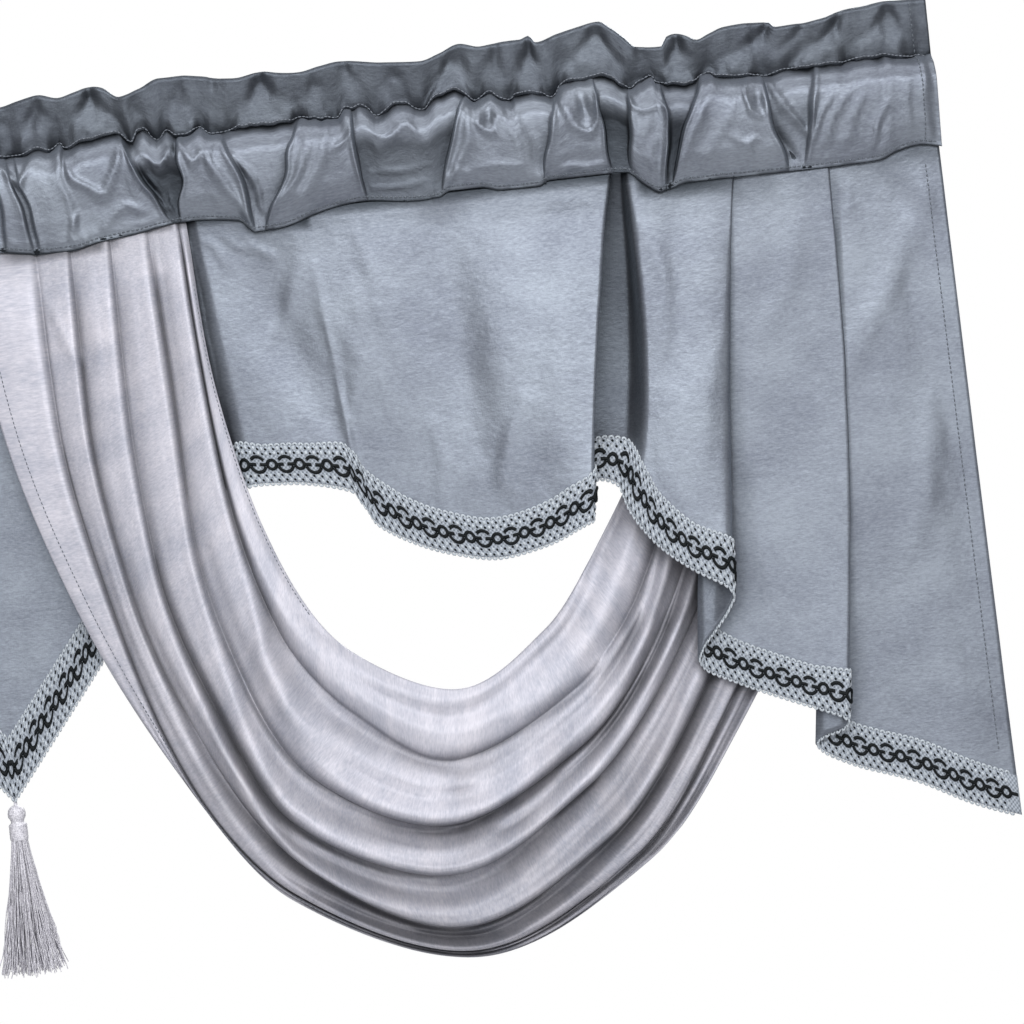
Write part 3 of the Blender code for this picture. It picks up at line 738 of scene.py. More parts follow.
def pocket_back(share):
    """The pocket's back at shares of the way up from the lower seam, for every column."""
    share = np.asarray(share, float)[:, None]
    x = lip_x + (seam_x - lip_x) * share
    heights, depth, follow = zip(*BACK_PROFILE)
    steps = np.linspace(0, 1, len(heights))
    z = through(steps, heights, share)
    z = z + (ragged_seam(x) + SEAM_LAP - heights[-1]) * ease(0.6, 1.0, share)
    loose = np.clip(stand_out(gather_place(x + 23), 1 - share), 0, 6)
    y = through(steps, depth, share) + through(steps, follow, share) * loose
    y = y + seam_pucker(x + 400, ragged_seam(x) - z, 13) * ease(0, 0.04, 1 - share)
    return np.stack([x, np.maximum(y, CLEAR_OF_RUFFLE), z], 2)


# %% Both layers of the pocket as one sheet
front_rows = np.concatenate(([0, 0.012, 0.026], np.linspace(0.045, 0.955, 33), [0.974, 0.99, 1.0]))
front = pocket_front(front_rows)
foot = np.stack([lip_x, np.full_like(lip_x, FOOT_DEPTH), np.full_like(lip_x, SEAM_HEIGHT)], 1)[None]
back = pocket_back(np.linspace(0, 1, 11))
pocket_points = np.concatenate([front, foot, back])
pocket = sheet("rod_pocket", pocket_points, CLOTH, STEEL, -1.0)
keep(pocket, "steel_satin", "heading")

# %% The ruffle, folded over at its top edge
RUFFLE_COLUMNS = 720
RUFFLE_LAP = 0.045  # the ruffle's foot laps over the top of the pocket
FOLD_RISE = 0.9  # the fold at the top edge lies this far above its two layers
ruffle_x = np.linspace(-HALF_WIDTH, HALF_WIDTH, RUFFLE_COLUMNS)


def ruffle(shares, side):
    """One layer of the ruffle: side is -1 for the front and 1 for the back, shares go up from 0."""
    share = np.asarray(shares, float)[:, None]
    x = np.broadcast_to(ruffle_x, (len(share), RUFFLE_COLUMNS))
    seam = ragged_seam(x)
    z = seam + (edge_height(x, TOP_EDGE) - seam) * share
    parted = 0.9 + 1.6 * np.sin(math.pi * np.clip(share, 0, 1)) ** 0.7 * (1 - 0.4 * share)
    parted = parted + 0.6 * rough_field(x, z, 23, 40, 20 + side) * ease(0, 0.3, share)
    y = -ruffle_sway(gather_place(x), np.clip(share, 0, 1)) + side * np.maximum(parted, 0.7)
    y = y - seam_pucker(x, z - seam, 31) * ease(0, 0.06, share) * 0.7
    y = y - (0.9 * rough_field(x, z, 9, 18, 41) + 1.1 * rough_field(x, z, 17, 60, 42)) * ease(0, 0.3, share)
    lean = 1.5 * rough_field(x, z * 0, 40, 10, 43) * share
    return np.stack([x + lean, y, z], 2)


behind = ruffle(np.linspace(-RUFFLE_LAP, 1.0, 11), 1)
fold = 0.5 * (ruffle([1.0], -1) + ruffle([1.0], 1)) + np.array((0, 0, FOLD_RISE))
before = ruffle(np.linspace(1.0, -RUFFLE_LAP, 17), -1)
ruffle_points = np.concatenate([behind, fold, before])
header = sheet("header_ruffle", ruffle_points, CLOTH, STEEL, 0.0)
keep(header, "steel_satin")

# %% [markdown]
# ## The swags
#
# A swag is one piece of satin whose pleats are caught at both top corners, so that it hangs in
# nested U folds. Each valley between two folds is a curve with a place at five shares of its drop
# down each leg. Between two valleys the cloth rises slowly to a crest, stays full, and tucks under
# sharply, which is what gives the bright crest and the thin dark line of a real swag.

# %% Valleys and folds of the right swag
DROP_SHARES = (0.0, 0.25, 0.5, 0.75, 0.9)
LEG_KEYS = (0.0, 0.1, 0.2, 0.31, 0.39)  # the parameter along the swag at those shares
HANG_GAP = 0.45  # the cloths begin this far below the lower seam
SWAG_VALLEYS = (
    # left leg's x at each share, lowest x and z, right leg's x at each share
    ((181, 186, 201, 231, 270), 350, -483, (575, 552, 520, 465, 420)),
    ((175, 181, 191, 219, 268), 340, -536, (592, 570, 538, 493, 437)),
    ((151, 157, 161, 189, 230), 330, -585, (612, 592, 557, 502, 438)),
    ((122, 122, 130, 169, 213), 328, -622, (634, 614, 576, 507, 436)),
    ((91, 91, 109, 161, 221), 335, -663, (655, 636, 597, 525, 452)),
    ((64, 68, 93, 140, 208), 343, -681, (675, 657, 619, 540, 470)),
    ((5, 25, 68, 140, 206), 345, -687, (692, 677, 640, 556, 480)),
)
SWAG_FOLDS = (
    # where the crest lies between two valleys, how far it stands out on the left leg, at the belly
    # and on the right leg
    (0.70, 5, 14, 8), (0.80, 9, 22, 10), (0.84, 10, 20, 10), (0.80, 10, 20, 9), (0.82, 10, 12, 7),
    (0.50, 8, 4, 3),
)
SWAG_DEPTH = (
    # parameter along the swag, depth of its valleys
    (0.0, -3.2), (0.018, -3.4), (0.07, -8.0), (0.3, -11.0), (0.5, -17.0), (0.61, -7.0),
    (0.7, 7.0), (0.8, 12.5), (0.94, 12.5), (0.982, 3.8), (1.0, 3.6),
)
SWAG_CREASES = (
    # places x, z along a crease, height, width on its left and on its right
    (((200, -380), (203, -410), (205, -440), (220, -480), (255, -530)), 4.0, 3.0, 5.0),
    (((216, -482), (280, -530), (330, -565), (368, -575)), 3.0, 5.0, 5.0),
    (((350, -513), (410, -500), (463, -472), (497, -439), (512, -403)), 3.5, 5.0, 4.0),
    (((255, -522), (296, -552), (338, -564), (380, -562), (420, -545), (462, -505), (490, -455)),
     -3.0, 4.0, 4.0),
    (((300, -663), (345, -672), (390, -668), (430, -650)), -2.5, 3.0, 3.0),
    (((72, -160), (84, -196), (92, -206)), 2.0, 2.5, 4.0),
    (((250, -500), (300, -535), (345, -556), (385, -566)), 2.6, 4.0, 6.0),
    (((240, -490), (262, -520), (290, -545)), 3.2, 3.5, 3.5),
    (((300, -575), (345, -590), (400, -588), (440, -565)), -2.0, 4.0, 5.0),
    (((395, -505), (378, -512), (368, -520)), -2.0, 3.0, 3.0),
)
SWAG_COLUMNS = 270
ROWS_A_FOLD = 15
CROWD_ROWS = 0.09  # draws the rows towards the valleys, where the cloth turns sharply
print(len(SWAG_FOLDS), "folds between", len(SWAG_VALLEYS), "valleys")


# %% Folds of the swag, row by row
def swag_valley(row, t):
    """The x and z of one valley of the swag's folds at each parameter t."""
    left, low_x, low_z, right = row
    keys = (*LEG_KEYS, 0.5, *(1 - key for key in reversed(LEG_KEYS)))
    drop = low_z - SEAM_HEIGHT + HANG_GAP
    heights = [SEAM_HEIGHT - HANG_GAP + drop * share for share in DROP_SHARES]
    xs = (*left, low_x, *reversed(right))
    zs = (*heights, low_z, *reversed(heights))
    return through(keys, xs, t), through(keys, zs, t)


def fold_profile(s, crest, fullness, pleated):
    """Height of a fold across it: up from the valley to the crest, and down again, late if it is full."""
    part = np.clip(s / crest, 0, 1)
    rise = np.sin(0.5 * math.pi * part) ** 0.95 * pleated + part**1.6 * (1 - pleated)
    fall = 1 - np.clip((s - crest) / (1 - crest), 0, 1) ** fullness
    return np.where(s < crest, rise, fall)


def thread_relief(across, t):
    """Thin folds and wrinkles that run along the swag, and slanted ridges where it is gathered."""
    streak = 1.0 - 3.2 * np.abs(rough_field(across * 10 + 6 * t, t * 100, 3.4, 24, 51))
    streak = streak + 0.6 - 1.6 * np.abs(rough_field(across * 10 - 9 * t, t * 100, 1.7, 15, 52))
    streak = streak + rough_field(across * 10, t * 100, 4.5, 16, 53) * 2.2
    slanted = across * 1.9 + 2.6 * (t - 0.5) + 0.5 * rough_field(across * 10, t * 100, 12, 22, 56)
    ridge = np.minimum(slanted % 1 / 0.72, (1 - slanted % 1) / 0.28)
    return streak, ridge


def swag_points():
    """Rows across the folds, from the inner edge to the hem, of points along the right swag."""
    t = np.linspace(0, 1, SWAG_COLUMNS)
    base = through(*zip(*SWAG_DEPTH), t)
    belly = np.sin(math.pi * t) ** 4
    # down the legs the folds are knife pleats with a crisp inner edge
    pleated = np.maximum(1 - ease(0.22, 0.44, t), 0.8 * ease(0.62, 0.80, t))
    free = ease(0.0, 0.05, t) * ease(0.0, 0.24, 1 - t)
    soft = (0.15 + 0.85 * free) * (1 - 0.75 * pleated)
    ridged = 4.4 * ease(0.56, 0.66, t) * (1 - ease(0.70, 0.78, t)) + 5.5 * belly * free
    valleys = [swag_valley(row, t) for row in SWAG_VALLEYS]
    rows = []
    for k, (crest, on_left, on_belly, on_right) in enumerate(SWAG_FOLDS):
        (x0, z0), (x1, z1) = valleys[k : k + 2]
        on_leg = on_left + (on_right - on_left) * ease(0.6, 0.78, t)
        out = on_leg * (0.2 + 0.8 * free) + (on_belly - on_leg) * belly * free
        moved = crest + 0.06 * rough_field(t * 100 + 31 * k, 0 * t, 19, 1, 54)
        moved = moved + (0.13 - moved) * pleated * (k > 0)
        crisp = np.maximum(pleated, 0.85 * (k == 0))
        fuller = 1 + 0.22 * rough_field(t * 100 + 47 * k, 0 * t, 26, 1, 55) * (1 - pleated)
        last_fold = k == len(SWAG_FOLDS) - 1
        for step in range(ROWS_A_FOLD + last_fold):
            s = step / ROWS_A_FOLD
            s = s - CROWD_ROWS * math.sin(2 * math.pi * s)
            height = fold_profile(s, moved, 1.6 - 0.3 * pleated, crisp) * fuller
            tuck = 0.10 * ease(crest, 1.0, s) * (1 - s) * 4 * (1 - pleated)
            xs, zs = x0 + (x1 - x0) * (s + tuck), z0 + (z1 - z0) * (s + tuck)
            streak, ridge = thread_relief(k + s, t)
            ridge = ridge * (1 if k else 0.7) * ridged
            rows.append(np.stack([xs, base - out * height - streak * soft - ridge, zs], 1))
    points = np.array(rows)
    points[..., 1] -= stroke_relief(points[..., 0], points[..., 2], SWAG_CREASES) * ease(0.0, 0.04, t)
    return points


# %% Both swags
swag = swag_points()
print("swag grid", swag.shape)
swag_right = keep(sheet("swag_cloth_right", swag, CLOTH, LILAC), "lilac_satin", "swag_right")
swag_left = keep(sheet("swag_cloth_left", mirrored(swag), CLOTH, LILAC), "lilac_satin", "swag_left")

# %% [markdown]
# ## The side panels
#
# Each side panel is cut like the tail of a swag. It hangs flat in a scallop beside the swag, then
# in three knife pleats whose hem steps down to a point at the outer end. The table walks along
# the hem and gives, for each place, where that thread starts at the seam, where it ends at the
# hem, and how late it leans over. Where y falls back and comes forward again, the cloth folds.

# %% The right side panel, a row for each place along its hem
SIDE_PANEL = (
    # x and y at the seam, x, y and z at the hem, and how late its fold leans over
    (171, 0.2, 188, 1, -338, 1), (181, -0.2, 199, -0.5, -325, 1), (185, -2.2, 204, -3.5, -313, 1),
    (190, -4.2, 212, -7, -311, 1), (222, -4, 242, -9, -313, 1), (262, -4.4, 287, -11, -325, 1),
    (270, -4.5, 293, -13, -336, 1), (278, -4, 299, -12, -348, 1), (300, -4.3, 326, -14, -367, 1),
    (332, -4, 358, -19, -380, 1), (366, -4.4, 392, -25, -387, 1), (408, -4, 429, -32, -381, 1),
    (462, -4.4, 452, -38, -372, 0.9), (506, -4.7, 461, -40, -368, 0.8), (509, -3.6, 464, -36, -365, 0.8),
    (505, -2.3, 460, -29, -357, 0.8), (496, -0.8, 453, -18, -345, 0.8), (500, 0.4, 461, -9, -338, 0.8),
    (509, 0.3, 474, -7, -336, 1), (516, -0.6, 488, -8.5, -342, 2.5), (521, -3.6, 495, -18, -364, 3.5),
    (545, -4.2, 511, -22, -389, 1.4), (580, -4.4, 534, -26, -410, 0.9),
    (603.5, -4.5, 560.5, -30.5, -428, 0.78), (605, -3.8, 563, -28, -435, 0.76),
    (603, -2.9, 559, -24, -444, 0.78), (591, -1.7, 548, -18.5, -459, 0.9),
    (584, -1.1, 537, -17, -472, 0.95), (581, -0.5, 533, -12.5, -481, 1), (585, 0.3, 537, -8.5, -488, 1),
    (610, -2.3, 568, -9.5, -505, 1.2), (645, -3.6, 606, -15, -522, 1.6), (672.5, -4.5, 638, -22, -536, 1.95),
    (674, -3.8, 640, -20, -540, 2), (671.5, -2.9, 636, -17, -545, 1.9), (657, -1.2, 620, -13.8, -550, 1.7),
    (653, -0.6, 615, -9.5, -555, 1.6), (657, 0.3, 620, -5.5, -561, 1.5), (679, -2.3, 643, -5.5, -574, 1.2),
    (710, -3, 688, -7, -591, 1), (736, -3.2, 730, -10, -613, 1), (760, -3, 765, -8, -627, 1),
)
print(len(SIDE_PANEL), "places along the hem of a side panel")

# %% Columns and rows of the side panel
PANEL_COLUMNS = 330
TURN_LENGTH = 9.0  # a turn by one radian gets as many columns as this length of straight hem
RECESS_ROWS = (13.6, 15.4, 18.8, 20.3)  # rows of the table where the recess begins and ends
RECESS_DEPTH = 20.0
PLEAT_ROWS = (21.5, 24)  # from here on the cascade comes forward late


def panel_columns():
    """The table read off at even steps along the hem, closer where the cloth turns."""
    table = np.array(SIDE_PANEL)
    stations = np.arange(len(table))
    fine = np.linspace(0, len(table) - 1, 60 * (len(table) - 1) + 1)
    hem = np.stack([through(stations, table[:, column], fine) for column in (2, 3, 4)])
    steps = np.diff(hem)
    lengths = np.linalg.norm(steps, axis=0)
    turns = np.abs(np.angle(np.exp(1j * np.diff(np.arctan2(steps[1], steps[0]), prepend=0.0))))
    turns[0] = 0.0
    effort = walked(lengths + TURN_LENGTH * turns)
    at = np.interp(np.linspace(0, effort[-1], PANEL_COLUMNS), effort, fine)
    return np.array([*(through(stations, table[:, column], at) for column in range(6)), at])


def in_recess(row):
    """1 in the recess between the scallop and the first pleat, 0 on the rest of the panel."""
    return ease(*RECESS_ROWS[:2], row) * (1 - ease(*RECESS_ROWS[2:], row))


def panel_points(columns, shares):
    """Points of the side panel at each share of its drop, one share or an array for each column."""
    x_top, y_top, x_hem, y_hem, z_hem, lean, row = columns
    recess = in_recess(row)
    late = 0.85 + 1.9 * ease(*PLEAT_ROWS, row)
    top = SEAM_HEIGHT - HANG_GAP
    rows = []
    for share in shares:
        share = np.broadcast_to(np.asarray(share, float), x_top.shape)
        forward = np.clip((share - 0.07) / 0.93, 0, 1) ** late
        xs = x_top + (x_hem - x_top) * share**lean
        ys = y_top + (y_hem - y_top) * forward
        ys = ys + RECESS_DEPTH * recess * np.sin(math.pi * np.clip(share / 0.9, 0, 1)) ** 0.6
        zs = top + (z_hem - top) * share
        rows.append(np.stack([xs, ys, zs], 1))
    return np.array(rows)


# %% Soft dents and creases of the side panel
PANEL_FOLDS = (
    # places x, z down the fold, height, width of its left flank and of its right flank
    (((226, -138), (240, -190), (268, -262)), -5.0, 20, 24),
    (((322, -120), (318, -200), (322, -300)), 3.0, 24, 30),
    (((372, -112), (378, -200), (384, -300)), -3.6, 15, 20),
    (((430, -110), (424, -180), (415, -260)), 2.6, 24, 20),
    (((478, -112), (462, -200), (448, -300)), 3.0, 16, 14),
    (((196, -122), (204, -131), (210, -146)), 1.7, 3, 3),
    (((208, -118), (216, -128), (228, -134)), 1.7, 2.6, 3),
    (((222, -120), (230, -130), (246, -141)), 1.6, 3, 3),
    (((238, -200), (252, -180), (262, -150)), 1.6, 8, 6),
    (((280, -290), (300, -240), (306, -180)), 1.4, 9, 9),
    (((400, -330), (408, -300), (424, -270)), 1.5, 6, 5),
    (((352, -340), (358, -310), (352, -280)), 1.3, 5, 6),
    (((669, -277), (712, -213), (747, -148)), 1.7, 8, 11),
    (((700, -420), (722, -370), (734, -300)), 1.4, 10, 9),
    (((610, -240), (636, -200), (648, -160)), 1.2, 10, 9),
    (((552, -330), (562, -280), (580, -230)), 1.3, 9, 12),
    (((530, -150), (540, -190), (536, -240)), 1.6, 7, 8),
    (((306, -116), (316, -150), (322, -196)), 0.9, 6, 8),
    (((672, -116), (688, -140), (684, -158)), 1.4, 4, 5),
    (((700, -122), (722, -140), (738, -168)), -1.8, 4, 6),
    (((724, -118), (742, -138), (748, -160)), 1.2, 4, 5),
    (((636, -124), (640, -150), (636, -190)), 1.0, 6, 9),
    (((560, -124), (552, -180), (540, -260)), -2.8, 13, 16),
    (((700, -260), (712, -360), (720, -470)), 1.6, 30, 26),
    (((724, -200), (742, -330), (752, -470)), -1.2, 14, 12),
)


# %% The cloth of a side panel
def panel_surface(shares):
    """The right panel's cloth with its dents, creases and small waves."""
    points = panel_points(columns, shares)
    normals = normals_of(points)
    x, z = points[..., 0], points[..., 2]
    share = np.array([np.broadcast_to(np.asarray(s, float), x.shape[1:]) for s in shares])
    along = np.cumsum(np.linalg.norm(np.diff(points[-1], axis=0, prepend=points[-1][:1]), axis=1))
    across = np.broadcast_to(along, x.shape)
    lift = stroke_relief(x, z, PANEL_FOLDS)
    lift = lift + 1.0 * rough_field(across, z, 46, 90, 61)
    lift = lift + 0.35 * rough_field(across + 0.3 * z, z, 15, 34, 62)
    lift = lift + 0.10 * rough_field(across - 0.2 * z, z, 5, 11, 63)
    held = ease(0.0, 0.10, share) * (0.25 + 0.75 * ease(0.0, 0.12, 1 - share))
    return points + normals * (lift * held)[..., None]


# %% Both side panels
BRAID_WIDTH = 28.0
PANEL_ROWS = 52
BRAID_ROWS = 8
NEAR_HEM = 0.05  # the slant of the cloth is measured over this share of its drop
LEAST_SLANT = 0.70  # the strip for the braid is not drawn out further than this where the cloth slants
SMOOTHING = 15  # columns over which the width of that strip is evened out

columns = panel_columns()
# the braid lies on the lowest part of the cloth, a share of each column's drop
hem, above = panel_points(columns, (1.0, 1 - NEAR_HEM))
along_hem = np.gradient(hem, axis=0)
up = above - hem
up_length = np.linalg.norm(up, axis=1)
slant = np.linalg.norm(np.cross(along_hem, up), axis=1) / (np.linalg.norm(along_hem, axis=1) * up_length)
braid_share = NEAR_HEM * BRAID_WIDTH / (np.clip(slant, LEAST_SLANT, 1.0) * up_length)
braid_share = np.pad(braid_share, SMOOTHING // 2, mode="edge")
braid_share = np.convolve(braid_share, np.full(SMOOTHING, 1 / SMOOTHING), "valid")
shares = [0.0, 0.01, 0.025] + [s * (1 - braid_share) for s in np.linspace(0.045, 1, PANEL_ROWS)]
shares += [1 - braid_share * (1 - s) for s in np.linspace(1 / BRAID_ROWS, 1, BRAID_ROWS)]
panel = panel_surface(shares)


def panel_sheet(name, grid, node_name):
    """A flat cloth whose weft hangs level."""
    return keep(sheet(name, grid, CLOTH, STEEL, uv=level_uv(grid)), "steel_satin", node_name)


side_right = panel_sheet("side_cloth_right", panel, "side_panel_right")
side_left = panel_sheet("side_cloth_left", mirrored(panel), "side_panel_left")

# %% [markdown]
# ## The centre panel
#
# A pointed panel hangs behind the inner legs of the two swags. It is almost flat, so a slow wave
# and the pull of the braid at its hem are all the drape it needs.

# %% The centre panel
CENTRE_HALF_WIDTH = 180.0
CENTRE_TIP = -531.0
POINT_SLOPE = 1.25


def centre_points(columns_across, rows_down):
    """Rows down the centre panel, the last ones under the braid."""
    u = np.linspace(-1, 1, columns_across)
    xs = CENTRE_HALF_WIDTH * u
    top = SEAM_HEIGHT - HANG_GAP
    hem_line = CENTRE_TIP + POINT_SLOPE * CENTRE_HALF_WIDTH * np.abs(u)
    braid_top = hem_line + BRAID_WIDTH * math.hypot(1, POINT_SLOPE)
    heights = [top + (braid_top - top) * share for share in np.linspace(0, 1, rows_down)]
    under_braid = np.linspace(0, 1, BRAID_ROWS + 1)[1:]
    heights += [braid_top + (hem_line - braid_top) * share for share in under_braid]
    rows = []
    for zs in heights:
        fall = (top - zs) / (top - CENTRE_TIP)
        ys = 3.2 + 3.4 * ease(0.04, 0.6, fall) + 1.8 * np.sin(4.4 * u + 0.6) * ease(0.05, 0.7, fall)
        waves = 0.8 * rough_field(xs, zs, 55, 90, 71) + 0.2 * rough_field(xs, zs, 14, 25, 72)
        rows.append(np.stack([xs, ys - waves * ease(0, 0.2, fall), zs], 1))
    return np.array(rows)


centre = centre_points(97, 60)
centre_cloth = panel_sheet("centre_cloth", centre, "centre_panel")

# %% [markdown]
# ## Light in the folds
#
# Satin looks much darker deep in a fold than the render alone makes it, because each thread there
# sees mostly other dark threads, so shade is painted into the colour of every cloth. A baked
# picture could hold it, but it would be tied to one UV map. So every cloth gets a measured share
# called open instead: rays go out from its surface, and the share of them that leave the folds says
# how open the place is. The finish reads it from the cloth's points and paints shade into the
# colour where it is low. The painted shade is the same from every view.


# %% What the rays can hit
def thinned(points, step):
    """Every few rows and columns of a grid, and always its last ones."""
    rows = np.unique(np.append(np.arange(0, points.shape[0], step), points.shape[0] - 1))
    across = np.unique(np.append(np.arange(0, points.shape[1], step), points.shape[1] - 1))
    return rows, across


def room_tree(grids):
    """All the cloths as one thing that rays can hit."""
    corners, faces, first = [], [], 0
    for points in grids:
        rows, across = thinned(points, 2)
        part = points[np.ix_(rows, across)] * MM
        corners.append(part.reshape(-1, 3))
        faces.append(quads_of(*part.shape[:2]) + first)
        first += len(corners[-1])
    return BVHTree.FromPolygons(np.concatenate(corners).tolist(), np.concatenate(faces).tolist())


# %% Measure how open each place is
RAY_REACH = 0.07
RAY_COUNT = 24
RAY_START = 0.0012  # clear of the cloth itself
LEANING = (0.0, 0.3, 0.954)  # no cloth here faces this way, so it can stand for up


def ray_fan(count):
    """Unit directions about +Z, more of them near the middle."""
    k = np.arange(count)
    rise = np.sqrt(1 - (k + 0.5) / count)
    turn = k * math.pi * (3 - math.sqrt(5))
    flat = np.sqrt(1 - rise**2)
    return np.stack([flat * np.cos(turn), flat * np.sin(turn), rise], 1)


def open_share(points, room, step):
    """The share of open sky at each point of a grid, from rays at every few points."""
    rows, across = thinned(points, step)
    normals = normals_of(points)[np.ix_(rows, across)]
    places = points[np.ix_(rows, across)] * MM
    side = np.cross(normals, LEANING)
    side /= np.linalg.norm(side, axis=2, keepdims=True)
    third = np.cross(normals, side)
    found = np.zeros(places.shape[:2])
    for a, b, c in ray_fan(RAY_COUNT):
        ways = side * a + third * b + normals * c
        starts = places + normals * RAY_START
        for i in range(len(rows)):
            for j in range(len(across)):
                hit = room.ray_cast(Vector(starts[i, j]), Vector(ways[i, j]), RAY_REACH)
                found[i, j] += 1.0 if hit[0] is None else (hit[3] / RAY_REACH) ** 0.5 * 0.5
    found /= RAY_COUNT
    down = np.array([np.interp(np.arange(points.shape[0]), rows, column) for column in found.T])
    return np.array([np.interp(np.arange(points.shape[1]), across, row) for row in down.T])


# %% Note the share on a cloth
LEAST_BEHIND = 0.85  # the back of a cloth is not in the shade of what lies on its front


def note_painted_shade(piece, share, least_behind=0.0):
    """Stores the share on a sheet, from which its finish paints shade: its front and its back have the same
    grid of points.
    """
    places = np.empty(len(piece.data.vertices) * 3, np.float32)
    piece.data.vertices.foreach_get("co", places)
    sides = places.reshape(2, -1, 3)[..., 1].mean(axis=1)
    shares = [np.maximum(share, least_behind if side == sides.max() else 0.0).ravel() for side in sides]
    layer = piece.data.attributes.new("open", "FLOAT", "POINT")
    layer.data.foreach_set("value", np.concatenate(shares).astype(np.float32))
    print(f"{piece.name}: open from {share.min():.2f} to {share.max():.2f}")


def blurred(share, reach):
    """Each value replaced by the mean of its neighbours, which softens a thin dark line."""
    for axis in (0, 1):
        margins = [(reach, reach) if a == axis else (0, 0) for a in (0, 1)]
        padded = np.pad(share, margins, mode="edge")
        count = share.shape[axis]
        moved = [np.take(padded, np.arange(k, k + count), axis) for k in range(2 * reach + 1)]
        share = sum(moved) / len(moved)
    return share


def under_heading(points):
    """A little less light on the cloth just under the heading, which stands out above it."""
    below = -points[..., 2] + edge_height(np.clip(np.abs(points[..., 0]), 0, HALF_WIDTH), LOWER_SEAM)
    return 0.86 + 0.14 * ease(-5, 45, below)


# %% Light on the heading
RUFFLE_SHADE = 0.66  # the ruffle leans into the shade of its own fans
FOLD_SHADE = 0.94  # the fold at the top edge is no bright rim
GATHER_LIGHT = 0.88
TIGHT_SHADE = 0.52

room = room_tree([pocket_points, ruffle_points, swag, mirrored(swag), panel, mirrored(panel), centre])
pocket_open = blurred(open_share(pocket_points, room, 2), 1) ** 1.2
# tight cloth lies in the shade of the gathers beside it, and the top of a gather comes out into the light
rows = front_rows[:, None]
height = stand_out(gather_place(seam_x + (lip_x - seam_x) * rows), rows)
front_open = pocket_open[: len(rows)]
lit = 0.75 * ease(1.5, 5, height) * (1 - ease(0.18, 0.34, rows))
front_open += np.maximum(GATHER_LIGHT - front_open, 0) * lit
front_open *= 1 - TIGHT_SHADE * (1 - ease(-TIGHTEST, 1, height)) * ease(0.30, 0.46, rows)
note_painted_shade(pocket, pocket_open)
ruffle_open = open_share(ruffle_points, room, 2)
ruffle_open[len(behind) - 2 : len(behind) + 3] *= FOLD_SHADE
note_painted_shade(header, ruffle_open**1.6 * RUFFLE_SHADE)

# %% Light on the swags and the panels
LOW_FOLDS = (3.1, 3.9)  # from this fold on, the belly of the swag gets painted shade towards the hem
LOW_SHADE = 0.20
PANEL_LIGHT = 0.80  # the floor reflects into the folds of the cascade
CASCADE_ROWS = (21.5, 23)  # rows of the panel's table over which that light sets in
RECESS_SHADE = 0.16

swag_open = open_share(swag, room, 2) * under_heading(swag)
fold_place = np.arange(len(swag))[:, None] / ROWS_A_FOLD
belly = np.sin(math.pi * np.linspace(0, 1, SWAG_COLUMNS)) ** 4
swag_open *= 1 - LOW_SHADE * ease(*LOW_FOLDS, fold_place) * belly
note_painted_shade(swag_right, swag_open, LEAST_BEHIND)
note_painted_shade(swag_left, swag_open[:, ::-1], LEAST_BEHIND)
panel_open = open_share(panel, room, 3) * under_heading(panel)
hem_row = columns[-1]
lit = ease(*CASCADE_ROWS, hem_row) * (0.45 + 0.35 * ease(-360, -420, panel[..., 2]))
panel_open += np.maximum(PANEL_LIGHT - panel_open, 0) * lit
panel_open *= 1 - RECESS_SHADE * in_recess(hem_row)
note_painted_shade(side_right, panel_open, LEAST_BEHIND)
note_painted_shade(side_left, panel_open[:, ::-1], LEAST_BEHIND)
# the centre panel gets only a faint painted shade
note_painted_shade(centre_cloth, open_share(centre, room, 3) ** 0.3)

# %% [markdown]
# ## Stitches
#
# A machine stitch is a short bead of thread that dips into the cloth at both ends. Hundreds of
# them follow each seam, so Geometry Nodes make them: the tree walks along a line that lies on the
# cloth, sets one stitch at each step, and turns it along the line.


# %% Geometry Nodes helpers
SOCKETS = {float: "NodeSocketFloat", int: "NodeSocketInt", tuple: "NodeSocketVector"}


def geometry_tree(name, inputs):
    """A tree with a geometry socket at both ends, named inputs with their defaults, and a finish."""
    group = bpy.data.node_groups.new(name, "GeometryNodeTree")
    group.interface.new_socket("Geometry", in_out="INPUT", socket_type="NodeSocketGeometry")
    for label, value in inputs.items():
        socket = group.interface.new_socket(label, in_out="INPUT", socket_type=SOCKETS[type(value)])
        socket.default_value = value
    group.interface.new_socket("Finish", in_out="INPUT", socket_type="NodeSocketMaterial")
    group.interface.new_socket("Geometry", in_out="OUTPUT", socket_type="NodeSocketGeometry")
    tree = Tree(group)
    return group, tree, tree.add("NodeGroupInput").outputs


def finish_tree(tree, geometry, finish):
    """Ends a tree: real geometry, smooth, with its finish."""
    real = tree.out("GeometryNodeRealizeInstances", {0: geometry})
    smooth = tree.out("GeometryNodeSetShadeSmooth", {"Geometry": real})
    done = tree.out("GeometryNodeSetMaterial", {"Geometry": smooth, "Material": finish})
    tree.add("NodeGroupOutput", {0: done})


def grow(piece, group, **values):
    """Runs a tree on a piece with values for its named inputs, and keeps the result as plain mesh."""
    modifier = piece.modifiers.new(group.name, "NODES")
    modifier.node_group = group
    for item in group.interface.items_tree:
        label = item.name.replace(" ", "_").lower()
        if item.in_out == "INPUT" and label in values:
            modifier[item.identifier] = values[label]
    return settle(piece)


def line_object(name, points):
    """A mesh of edges along points in millimetres."""
    mesh = bpy.data.meshes.new(name)
    mesh.from_pydata(np.asarray(points) * MM, [(k, k + 1) for k in range(len(points) - 1)], [])
    return put(name, mesh)


def length_of(points):
    return float(np.linalg.norm(np.diff(points, axis=0), axis=1).sum())


